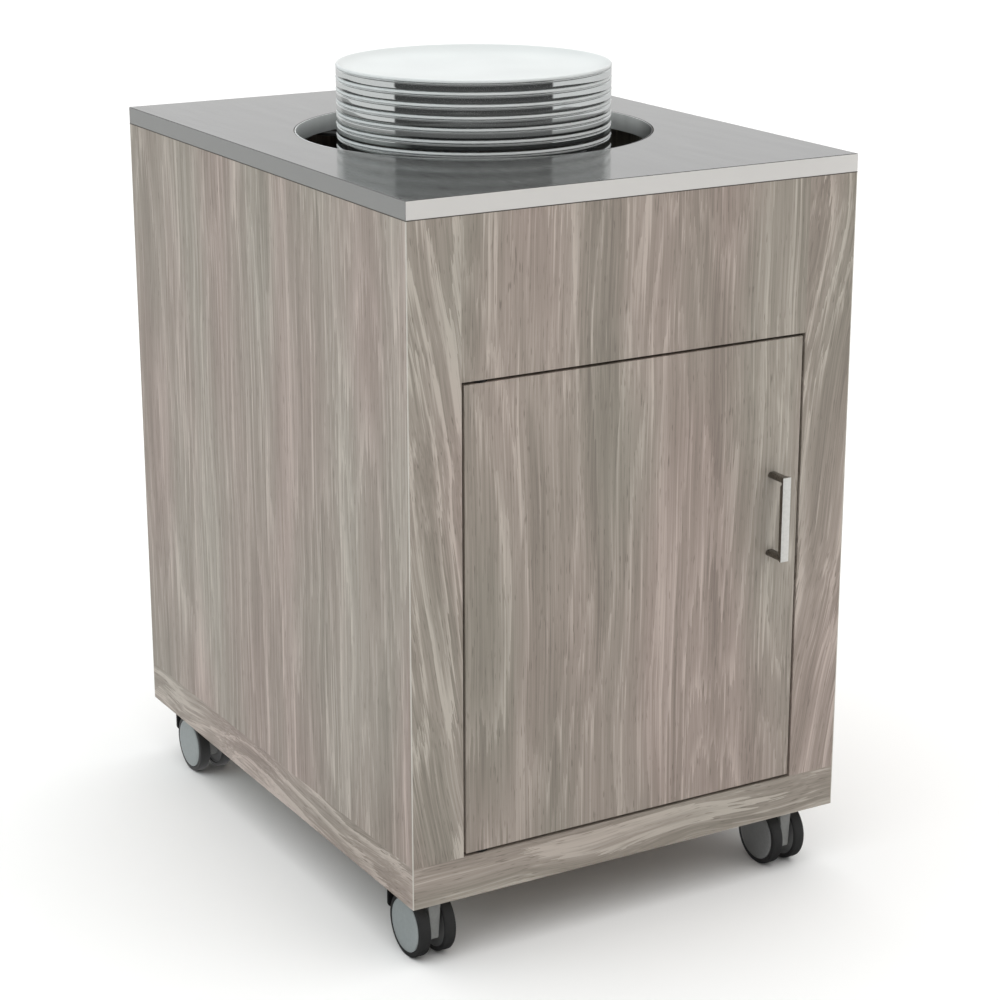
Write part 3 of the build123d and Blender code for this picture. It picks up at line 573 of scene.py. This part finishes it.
def easeEdges(width):
    addModifier("BEVEL", width=width, segments=nodeFinish["segments"], limit_method="ANGLE",
                angle_limit=radians(nodeFinish["easeAngle"]))


def joinInto(first):
    # the selected pieces become one mesh with the first
    first.select_set(True)
    bpy.context.view_layer.objects.active = first
    bpy.ops.object.join()


def pickFaces(test):
    # edit mode: selects the faces whose centre and normal pass the test
    mesh = bpy.context.object.data
    bpy.ops.mesh.select_mode(type="FACE")
    bpy.ops.mesh.select_all(action="DESELECT")
    shape = bmesh.from_edit_mesh(mesh)
    for face in shape.faces:
        face.select_set(bool(test(face.calc_center_median(), face.normal)))
    bmesh.update_edit_mesh(mesh)


def pickEdges(test):
    # edit mode: selects the edges whose two ends pass the test
    mesh = bpy.context.object.data
    bpy.ops.mesh.select_mode(type="EDGE")
    bpy.ops.mesh.select_all(action="DESELECT")
    shape = bmesh.from_edit_mesh(mesh)
    for edge in shape.edges:
        edge.select_set(bool(test(edge.verts[0].co, edge.verts[1].co)))
    bmesh.update_edit_mesh(mesh)


def turnOnLathe(points, centre, across, along, steps):
    # one vertex drawn out along the profile, given in millimetres, then spun round the axis
    openPiece()
    bpy.ops.mesh.primitive_plane_add(size=meshWork["seed"], location=(0, 0, 0))
    bpy.ops.object.mode_set(mode="EDIT")
    bpy.ops.mesh.select_mode(type="VERT")
    bpy.ops.mesh.select_all(action="SELECT")
    bpy.ops.mesh.merge(type="CENTER")
    places = [Vector(centre) + Vector(across) * (r / 1000) + Vector(along) * (h / 1000) for r, h in points]
    bpy.ops.transform.translate(value=places[0])
    for here, there in zip(places, places[1:]):
        bpy.ops.mesh.extrude_vertices_move(TRANSFORM_OT_translate={"value": there - here})
    bpy.ops.mesh.select_all(action="SELECT")
    bpy.ops.mesh.spin(steps=steps, angle=2 * pi, center=centre, axis=along)
    bpy.ops.mesh.select_all(action="SELECT")
    bpy.ops.mesh.remove_doubles(threshold=meshWork["merge"])
    bpy.ops.mesh.normals_make_consistent(inside=False)
    bpy.ops.object.mode_set(mode="OBJECT")


def closePiece(name, body, material, angle=32):
    # angle, in degrees, is the sharpest that is shaded smooth
    piece = bpy.context.object
    if bpy.context.mode != "OBJECT":
        bpy.ops.object.mode_set(mode="OBJECT")
    piece.name = name
    piece.data.name = name
    applyPlace()
    bpy.ops.object.shade_smooth_by_angle(angle=radians(angle))
    piece.data.materials.clear()
    piece.data.materials.append(material)
    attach(piece, body)
    return piece


def finishFaces(piece, material, test):
    # a second finish on the faces that pass the test
    piece.data.materials.append(material)
    bpy.ops.object.mode_set(mode="EDIT")
    pickFaces(test)
    piece.active_material_index = 1
    bpy.ops.object.material_slot_assign()
    bpy.ops.object.mode_set(mode="OBJECT")


def copyShape(source, name, move):
    # a copy with its own mesh, moved in the mesh
    piece = source.copy()
    piece.data = source.data.copy()
    piece.name = name
    bpy.context.scene.collection.objects.link(piece)
    piece.data.transform(move)
    return piece


def copyPiece(source, name, body, move):
    piece = copyShape(source, name, move)
    piece.data.name = name
    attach(piece, body)
    return piece


# Plates: a nesting dinner plate with a foot ring, a rolled lip and a steep wall, thrown from one profile

plateShape = {
    "count": 9,
    "pitch": 0.012,
    "profile": (
        (0, 5), (60, 5), (84, 5), (86, 3.4), (87, 0.4), (88, 0), (91, 0), (92.2, 0.6), (93.4, 3), (96, 5),
        (115, 5.4), (130, 6.2), (136.5, 7.6), (139.2, 9), (140.2, 10), (143.6, 10.1), (144.1, 10.3),
        (144.3, 10.7), (144.35, 13), (144.35, 16), (144.3, 17.2), (144, 17.7), (143.3, 18.1), (143.3, 18.5),
        (144.2, 18.9), (144.6, 19.4), (144.5, 20.1), (144.2, 20.9), (143.7, 21.6), (143.1, 22), (142.2, 21.8),
        (141.2, 21), (139, 19.2), (136, 17.2), (131, 15.2), (121, 13.3), (104, 12.2), (80, 11.8), (0, 11.8),
    ),
    "steps": 144,
    "smoothAngle": 38,
    "wall": (0.01005, 0.0189),   # heights between which the outside is polished
    "outward": 0.1,              # least reach of a centre along its own normal there
}
topLow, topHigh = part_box("top_plate")
plateCentre = middle((topLow, topHigh))
plateCentre.z = topLow.z
turnOnLathe(plateShape["profile"], plateCentre, (1, 0, 0), (0, 0, 1), plateShape["steps"])
topPlate = closePiece("dinnerPlateTop", "top_plate", glazedPorcelain, plateShape["smoothAngle"])
wallLow, wallHigh = (topLow.z + height for height in plateShape["wall"])
finishFaces(topPlate, polishedWall, lambda c, n: (
    wallLow < c.z < wallHigh and (c.xy - plateCentre.xy).dot(n.xy) > plateShape["outward"]))
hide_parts("top_plate")
for step in range(1, plateShape["count"]):
    plate = copyPiece(topPlate, f"dinnerPlate{step}", "carriage",
                      Matrix.Translation((0, 0, -step * plateShape["pitch"])))
    if step == 1:
        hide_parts("plate_stack")
print("plates made")


# Door leaf: laminated board with edge bands, its arrises eased

leafShape = {"arris": 0.0007, "segments": 3}
leafLow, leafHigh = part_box("door_panel")
addBlock(middle((leafLow, leafHigh)), leafHigh - leafLow)
bpy.ops.object.mode_set(mode="EDIT")
bpy.ops.mesh.select_all(action="SELECT")
bpy.ops.mesh.bevel(offset=leafShape["arris"], segments=leafShape["segments"], affect="EDGES")
doorLeaf = closePiece("doorLeaf", "door", ashUpright)
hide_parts("door_panel")
print("door leaf made")


# Door handle: a flat bar with two flat-oval posts

handleShape = {
    "barDepth": 0.0045,
    "postHeight": 0.0065,
    "postRound": 0.003,
    "postSegments": 5,
    "arris": 0.0005,
    "arrisSegments": 2,
    "frontShare": 0.7,       # least share of its normal to the front for a face in the pale painted-light finish
    "smoothAngle": 35,
}
handleLow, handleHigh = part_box("door_handle")
handleSize = handleHigh - handleLow
handleMiddle = middle((handleLow, handleHigh))
barDepth = handleShape["barDepth"]
barBack = handleLow.y + barDepth + meshWork["near"]
barFront = handleLow.y + meshWork["near"]
postLevels = (handleLow.z + handleShape["postHeight"], handleHigh.z - handleShape["postHeight"])
addBlock((handleMiddle.x, handleLow.y + barDepth / 2, handleMiddle.z), (handleSize.x, barDepth, handleSize.z))
bpy.ops.object.mode_set(mode="EDIT")
for level in postLevels:
    bpy.ops.mesh.select_all(action="SELECT")
    bpy.ops.mesh.bisect(plane_co=(0, 0, level), plane_no=(0, 0, 1))
pickFaces(lambda c, n: n.y > meshWork["facing"] and not postLevels[0] < c.z < postLevels[1])
bpy.ops.mesh.extrude_region_move(TRANSFORM_OT_translate={"value": (0, handleSize.y - barDepth, 0)})
pickEdges(lambda a, b: abs(a.y - b.y) > 2 * barDepth)
bpy.ops.mesh.bevel(offset=handleShape["postRound"], segments=handleShape["postSegments"], affect="EDGES")
pickEdges(lambda a, b: max(a.y, b.y) < barBack and min(a.y, b.y) < barFront)
bpy.ops.mesh.bevel(offset=handleShape["arris"], segments=handleShape["arrisSegments"], affect="EDGES")
handle = closePiece("barHandle", "door", anodisedBar, handleShape["smoothAngle"])
frontDepth = handleLow.y + 2 * handleShape["arris"]
# the front faces take the pale tone, painted light
finishFaces(handle, blastedFace, lambda c, n: n.y < -handleShape["frontShare"] and c.y < frontDepth)
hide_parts("door_handle")
print("handle made")


# Springs: close-wound wire with a loop at each end, stretched between the flange and the lower spider

springShape = {
    "wire": 0.0008,          # radius, as the coil's
    "wireSides": 5,
    "coil": 0.0062,
    "pitch": 0.0026,
    "turnSteps": 10,
    "end": 0.009,            # height of the loop at each end
    "loopSteps": 14,
    "circle": 0.2,           # the springs hang in pairs on this radius
    "pairs": (45, 135, 225, 315),   # degrees round the well
    "beside": 0.024,         # each this far from its pair's middle
}
springLow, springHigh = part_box("lift_springs")
coilLength = springHigh.z - springLow.z - 2 * springShape["end"]
turns = round(coilLength / springShape["pitch"])
springPlaces = []
for angle in (radians(degrees) for degrees in springShape["pairs"]):
    for aside in (springShape["beside"], -springShape["beside"]):
        springX = plateCentre.x + springShape["circle"] * cos(angle) - aside * sin(angle)
        springY = plateCentre.y + springShape["circle"] * sin(angle) + aside * cos(angle)
        springPlaces.append(Vector((springX, springY, 0)))
openPiece()
bpy.ops.mesh.primitive_circle_add(vertices=springShape["wireSides"], radius=springShape["wire"],
                                  location=(0, 0, 0), rotation=(pi / 2, 0, 0))
applyPlace()
bpy.ops.object.mode_set(mode="EDIT")
bpy.ops.transform.translate(value=(springShape["coil"], 0, springLow.z + springShape["end"]))
bpy.ops.object.mode_set(mode="OBJECT")
addModifier("SCREW", axis="Z", angle=2 * pi, steps=springShape["turnSteps"],
            render_steps=springShape["turnSteps"], iterations=turns,
            screw_offset=coilLength / turns, use_merge_vertices=True)
coil = bpy.context.object
for level in (springLow.z + springShape["end"] / 2, springHigh.z - springShape["end"] / 2):
    bpy.ops.mesh.primitive_torus_add(major_radius=springShape["end"] / 2, minor_radius=springShape["wire"],
                                     major_segments=springShape["loopSteps"],
                                     minor_segments=springShape["wireSides"],
                                     location=(0, 0, level), rotation=(pi / 2, 0, 0))
    joinInto(coil)
applyPlace()
bpy.ops.object.mode_set(mode="EDIT")
bpy.ops.mesh.select_all(action="SELECT")
bpy.ops.mesh.normals_make_consistent(inside=False)
bpy.ops.transform.translate(value=springPlaces[0])
bpy.ops.object.mode_set(mode="OBJECT")
coil.name = "liftSpring0"
coil.data.materials.append(springWire)
bpy.ops.object.shade_smooth()
springs = [coil]
for number, spot in enumerate(springPlaces[1:], 1):
    springs.append(copyShape(coil, f"liftSpring{number}", Matrix.Translation(spot - springPlaces[0])))
for spring, spot in zip(springs, springPlaces):
    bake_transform(spring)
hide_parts("lift_springs")
print("springs made")


# Casters: twin wheels on a tapered leg, a domed cap outside each wheel, and a brake pedal behind

casterShape = {
    "tyre": ((28.2, 9.4), (29.4, 8.0), (31.0, 7.8), (32.3, 8.1), (33.0, 8.9), (33.2, 10.0), (33.2, 18.0),
             (33.0, 19.2), (32.3, 20.0), (31.0, 20.3), (28.6, 20.3), (28.2, 20.0), (28.2, 9.4)),
    "web": ((4.2, 8.2), (8.6, 8.0), (9.2, 8.4), (9.6, 10.2), (26.0, 10.2), (27.0, 9.8), (27.6, 8.9),
            (28.2, 8.9), (28.2, 12.0), (4.2, 12.0), (4.2, 8.2)),
    "cap": ((0, 21.5), (16, 21.45), (23, 21.3), (26.2, 21.05), (27.3, 20.7), (27.7, 20.3), (27.7, 19.6),
            (0, 19.6)),
    "wheelSteps": 96,
    "smoothAngle": 35,
    "legTop": 0.0142,            # widths of the leg
    "legBottom": 0.0084,
    "legRise": 0.0332,           # its top above the axle
    "kneeBack": 0.010,           # its back slopes from here, behind the axle
    "backRise": 0.0125,          # to here, below its top
    "footRound": 0.003,
    "footSegments": 4,
    "legArris": 0.0006,
    "slotWidth": 0.0066,         # the slot in its back for the pedal's arm
    "slotDepth": 0.0108,
    "slotDrop": 0.0112,
    "stemFromBack": 0.0125,
    "head": ((0.0108, 0.0, 0.0168), (0.011, 0.0, 0.003), (0.0096, 0.0168, 0.0004)),
    "headSides": 56,
    "headArris": 0.0005,
    "bossRadius": 0.0085,        # round the axle, between leg and wheels
    "bossMiddle": 0.0055,
    "bossReach": 0.004,
    "bossSides": 40,
    "bossArris": 0.0004,
    "pedalThick": 0.003,
    "pedalCorner": 0.006,
    "cornerSegments": 5,
    "pedalRim": 0.0025,
    "pedalSink": 0.0006,
    "pedalArris": 0.0004,
    "hingeBack": 0.027,          # from the axle
    "hingeRise": 0.0268,
    "hubRadius": 0.0042,
    "hubSides": 32,
    "armWidth": 0.0056,
    "armHeight": 0.0038,
}
casterRoles = {                  # the body each piece rides on, its slot and its finish
    "tyre": ("wheelset", "wheel_tread", blackTread),
    "web": ("wheelset", "caster_plastic", webPolyamide),
    "cap": ("wheelset", "cap_plastic", capPolyamide),
    "fork": ("caster", "caster_plastic", greyPolyamide),
    "pedal": ("brake", "pedal_plastic", blackPolyamide),
}


def closeCaster(kind, stem, place):
    body, slotName, material = casterRoles[kind]
    return closePiece(f"{stem}_{place}", f"{body}_{place}", material, casterShape["smoothAngle"])


def buildWheels(place, axle, kind):
    # one turned piece of the right wheel, and its mirror image for the left
    mirror = Matrix.Translation(axle) @ Matrix.Diagonal((-1, 1, 1, 1)) @ Matrix.Translation(-axle)
    turnOnLathe(casterShape[kind], axle, (0, 1, 0), (1, 0, 0), casterShape["wheelSteps"])
    right = closeCaster(kind, f"{kind}Right", place)
    left = copyPiece(right, f"{kind}Left_{place}", f"wheelset_{place}", mirror)
    left.data.flip_normals()
    return [right, left]


def buildFork(place, axle):
    # the leg with its slot, the stem's head on top and a boss on each side of the axle
    bodyLow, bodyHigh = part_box(f"housing_{place}")
    near = meshWork["near"]
    legTop = axle.z + casterShape["legRise"]
    leg = addBlock((axle.x, (bodyLow.y + bodyHigh.y) / 2, (bodyLow.z + legTop) / 2),
                   (casterShape["legTop"], bodyHigh.y - bodyLow.y, legTop - bodyLow.z))
    bpy.ops.object.mode_set(mode="EDIT")
    bpy.ops.mesh.select_all(action="SELECT")
    kneeY = axle.y + casterShape["kneeBack"]
    slopeRise = legTop - casterShape["backRise"] - bodyLow.z
    bpy.ops.mesh.bisect(plane_co=(0, kneeY, bodyLow.z), plane_no=(0, slopeRise, kneeY - bodyHigh.y),
                        use_fill=True, clear_outer=True)
    pickFaces(lambda c, n: c.z < bodyLow.z + near)
    taper = casterShape["legBottom"] / casterShape["legTop"]
    bpy.ops.transform.resize(value=(taper, 1, 1), center_override=axle)
    pickEdges(lambda a, b: max(a.z, b.z) < bodyLow.z + near and abs(a.y - b.y) < near)
    bpy.ops.mesh.bevel(offset=casterShape["footRound"], segments=casterShape["footSegments"], affect="EDGES")
    bpy.ops.object.mode_set(mode="OBJECT")
    cutter = addBlock((axle.x, bodyHigh.y, legTop),
                      (casterShape["slotWidth"], 2 * casterShape["slotDepth"], 2 * casterShape["slotDrop"]))
    takeUp(leg)
    addModifier("BOOLEAN", operation="DIFFERENCE", object=cutter, solver="EXACT")
    bpy.data.objects.remove(cutter)
    easeEdges(casterShape["legArris"])
    stemY = bodyHigh.y - casterShape["stemFromBack"]
    parts = []
    for radius, base, height in casterShape["head"]:
        spot = (axle.x, stemY, legTop + base + height / 2)
        parts.append(addPin(casterShape["headSides"], radius, height, spot))
        easeEdges(casterShape["headArris"])
    for side in (-1, 1):
        spot = (axle.x + side * casterShape["bossMiddle"], axle.y, axle.z)
        parts.append(addPin(casterShape["bossSides"], casterShape["bossRadius"], casterShape["bossReach"],
                            spot, (0, pi / 2, 0)))
        easeEdges(casterShape["bossArris"])
    openPiece()
    for part in parts:
        part.select_set(True)
    joinInto(leg)
    return closeCaster("fork", "casterFork", place)


def buildPedal(place, axle):
    # foot plate with round corners and a sunk face, on the arm that hangs from its hinge
    pedalLow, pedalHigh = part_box(f"pedal_{place}")
    plateY = pedalHigh.y - casterShape["pedalThick"] / 2
    pedal = addBlock((axle.x, plateY, (pedalLow.z + pedalHigh.z) / 2),
                     (pedalHigh.x - pedalLow.x, casterShape["pedalThick"], pedalHigh.z - pedalLow.z))
    bpy.ops.object.mode_set(mode="EDIT")
    pickEdges(lambda a, b: abs(a.y - b.y) > meshWork["near"])
    bpy.ops.mesh.bevel(offset=casterShape["pedalCorner"], segments=casterShape["cornerSegments"],
                       affect="EDGES")
    pickFaces(lambda c, n: n.y > meshWork["facing"])
    bpy.ops.mesh.inset(thickness=casterShape["pedalRim"], depth=-casterShape["pedalSink"])
    bpy.ops.object.mode_set(mode="OBJECT")
    hingeY = axle.y + casterShape["hingeBack"]
    hingeZ = axle.z + casterShape["hingeRise"]
    hub = addPin(casterShape["hubSides"], casterShape["hubRadius"], casterShape["armWidth"],
                 (axle.x, hingeY, hingeZ), (0, pi / 2, 0))
    addBlock((axle.x, (hingeY + plateY) / 2, hingeZ),
             (casterShape["armWidth"], plateY - hingeY, casterShape["armHeight"]))
    hub.select_set(True)
    joinInto(pedal)
    easeEdges(casterShape["pedalArris"])
    return closeCaster("pedal", "brakePedal", place)


firstPlace = casterPlaces[0]
firstAxle = middle(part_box(f"wheels_{firstPlace}"))
firstCaster = {kind: buildWheels(firstPlace, firstAxle, kind) for kind in ("tyre", "web", "cap")}
firstCaster["fork"] = buildFork(firstPlace, firstAxle)
firstCaster["pedal"] = buildPedal(firstPlace, firstAxle)
casters = {firstPlace: firstCaster}
for place in casterPlaces[1:]:
    shift = Matrix.Translation(middle(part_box(f"wheels_{place}")) - firstAxle)
    casters[place] = {}
    for kind, made in firstCaster.items():
        body, slotName = casterRoles[kind][:2]
        sources = made if isinstance(made, list) else [made]
        copies = []
        for source in sources:
            name = source.name.replace(firstPlace, place)
            copies.append(copyPiece(source, name, f"{body}_{place}", shift))
        casters[place][kind] = copies if isinstance(made, list) else copies[0]
for place, made in casters.items():
    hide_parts(f"wheels_{place}")
    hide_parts(f"caps_{place}")
    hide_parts(f"housing_{place}")
    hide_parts(f"pedal_{place}")
    # the cap on the caster's inward side takes the darker plastic: painted shade
    inward = made["cap"][1] if place.endswith("right") else made["cap"][0]
    inward.data.materials[0] = webPolyamide
print("casters made")


# Floor, studio light and the room that glossy surfaces see

studio = {
    "floor": "#f4f4f3",
    "floorSize": 60,
    "floorRoughness": 0.9,
    "facing": (-0.493, -0.870, 0.0),   # a dark flat stands on this side, behind the camera
    "flatEdge": (0.355, 0.395),        # cosines of its edges, soft between them
    "flatTop": (0.45, 0.7),            # sines of the heights where it ends
    "flatGloss": 0.042,                # what a mirror sees of the floor before it
    "upperGloss": 0.16,                # and of the flat itself
    "flatShade": 0.5,                  # how far it holds back the dome's light
    "domeLow": 0.15,                   # dome light at the horizon, stronger overhead
    "domeRise": 1.75,
    "horizonGloss": (0.62, 0.52),      # the mirrored room, from the floor up to the end of its light band
    "bandEnd": (0.14, 0.22),
    "aboveBand": 0.16,
    "backEdge": (-0.86, -0.76),        # cosines of the light sector that stands opposite the flat
    "backTop": (0.56, 0.66),
    "backGloss": 0.79,
    "aim": (0, 0, 0.4),                # the lamps point here
    "lamps": (                         # name, place, size, power, tint
        ("softboxLeft", (-3.4, 0.6, 2.6), 2.2, 15.2, "#dcf7ff"),
        ("softboxFront", (1.6, -3.4, 2.8), 2.4, 8, "#fff4e8"),
    ),
}

openPiece()
bpy.ops.mesh.primitive_grid_add(x_subdivisions=4, y_subdivisions=4, size=studio["floorSize"],
                                location=(0, 0, 0))
floor = bpy.context.object
floor.name = "floor"
floorMaterial, tree, shader = newMaterial("paleFloor", Base_Color=toLinear(studio["floor"]),
                                          Roughness=studio["floorRoughness"], Specular_IOR_Level=0.0)


def facingCosine(tree, direction):
    # cosine of the level angle between a direction and the dark flat
    level = addNode(tree, "ShaderNodeVectorMath", {"operation": "MULTIPLY", 1: (1, 1, 0)}, {0: direction})
    unit = addNode(tree, "ShaderNodeVectorMath", {"operation": "NORMALIZE"}, {0: level.outputs[0]})
    return addNode(tree, "ShaderNodeVectorMath", {
        "operation": "DOT_PRODUCT", 1: studio["facing"],
    }, {0: unit.outputs[0]}).outputs["Value"]


def sectorMask(tree, cosine, sine, edges, top, past):
    # 1 in one sector of the room up to its top; past is 1 if its cosines lie above the edges, else 0
    across = addNode(tree, "ShaderNodeMapRange", {
        "interpolation_type": "SMOOTHSTEP", "From Min": edges[0], "From Max": edges[1],
        "To Min": 1 - past, "To Max": past,
    }, {"Value": cosine})
    below = addNode(tree, "ShaderNodeMapRange", {
        "interpolation_type": "SMOOTHSTEP", "From Min": top[0], "From Max": top[1],
        "To Min": 1.0, "To Max": 0.0,
    }, {"Value": sine})
    return addNode(tree, "ShaderNodeMath", {"operation": "MULTIPLY"}, {
        0: across.outputs[0], 1: below.outputs[0],
    })


# in mirrors the floor carries on the room: dark before the flat, grey beside it
floorTone = addNode(tree, "ShaderNodeMapRange", {
    "interpolation_type": "SMOOTHSTEP", "From Min": studio["flatEdge"][0], "From Max": studio["flatEdge"][1],
    "To Min": studio["horizonGloss"][0], "To Max": studio["flatGloss"],
}, {"Value": facingCosine(tree, addNode(tree, "ShaderNodeTexCoord").outputs["Object"])})
mirrored = addNode(tree, "ShaderNodeEmission", {"Color": (1, 1, 1, 1)}, {"Strength": floorTone.outputs[0]})
path = addNode(tree, "ShaderNodeLightPath")
floorMix = addNode(tree, "ShaderNodeMixShader", links={
    0: path.outputs["Is Glossy Ray"], 1: shader.outputs[0], 2: mirrored.outputs[0],
})
tree.links.new(floorMix.outputs[0], tree.nodes["Material Output"].inputs["Surface"])
floor.data.materials.append(floorMaterial)

world = bpy.data.worlds.new("studioWorld")
world.use_nodes = True
bpy.context.scene.world = world
tree = world.node_tree
tree.nodes.clear()
direction = addNode(tree, "ShaderNodeTexCoord").outputs["Generated"]
sine = addNode(tree, "ShaderNodeSeparateXYZ", links={0: direction}).outputs["Z"]
cosine = facingCosine(tree, direction)
flatMask = sectorMask(tree, cosine, sine, studio["flatEdge"], studio["flatTop"], 1.0)
backMask = sectorMask(tree, cosine, sine, studio["backEdge"], studio["backTop"], 0.0)

# the room in mirrors: a band that darkens upwards, dark above it, light at the back, the flat in front
lowBand = addNode(tree, "ShaderNodeMapRange", {
    "From Max": studio["bandEnd"][0],
    "To Min": studio["horizonGloss"][0], "To Max": studio["horizonGloss"][1],
}, {"Value": sine})
pastBand = addNode(tree, "ShaderNodeMapRange", {
    "interpolation_type": "SMOOTHSTEP", "From Min": studio["bandEnd"][0], "From Max": studio["bandEnd"][1],
}, {"Value": sine})
glossyTone = lowBand
for mask, tone in ((pastBand, "aboveBand"), (backMask, "backGloss"), (flatMask, "upperGloss")):
    glossyTone = addNode(tree, "ShaderNodeMix", {"data_type": "FLOAT", 3: studio[tone]}, {
        0: mask.outputs[0], 2: glossyTone.outputs[0],
    })

# the dome's light on everything else, held back by the flat
domeTone = addNode(tree, "ShaderNodeMath", {
    "operation": "MULTIPLY_ADD", 1: studio["domeRise"], 2: studio["domeLow"],
}, {0: sine})
heldBack = addNode(tree, "ShaderNodeMath", {
    "operation": "MULTIPLY_ADD", 1: studio["flatShade"] - 1, 2: 1.0,
}, {0: flatMask.outputs[0]})
domeLight = addNode(tree, "ShaderNodeMath", {"operation": "MULTIPLY"}, {
    0: domeTone.outputs[0], 1: heldBack.outputs[0],
})

# the camera sees plain white
path = addNode(tree, "ShaderNodeLightPath")
white = addNode(tree, "ShaderNodeMath", {"operation": "MAXIMUM"}, {
    0: path.outputs["Is Camera Ray"], 1: path.outputs["Is Transmission Ray"],
})
unseen = addNode(tree, "ShaderNodeMix", {"data_type": "FLOAT"}, {
    0: path.outputs["Is Glossy Ray"], 2: domeLight.outputs[0], 3: glossyTone.outputs[0],
})
strength = addNode(tree, "ShaderNodeMix", {"data_type": "FLOAT", 3: 1.0}, {
    0: white.outputs[0], 2: unseen.outputs[0],
})
background = addNode(tree, "ShaderNodeBackground", {"Color": (1, 1, 1, 1)}, {"Strength": strength.outputs[0]})
addNode(tree, "ShaderNodeOutputWorld", links={"Surface": background.outputs[0]})

for name, spot, size, power, tint in studio["lamps"]:
    lamp = bpy.data.lights.new(name, "AREA")
    lamp.size = size
    lamp.energy = power
    lamp.color = toLinear(tint)[:3]
    lampObject = bpy.data.objects.new(name, lamp)
    bpy.context.scene.collection.objects.link(lampObject)
    lampObject.location = spot
    lampObject.rotation_euler = (Vector(studio["aim"]) - Vector(spot)).to_track_quat("-Z", "Y").to_euler()
    lampObject.visible_glossy = False
print("studio set")
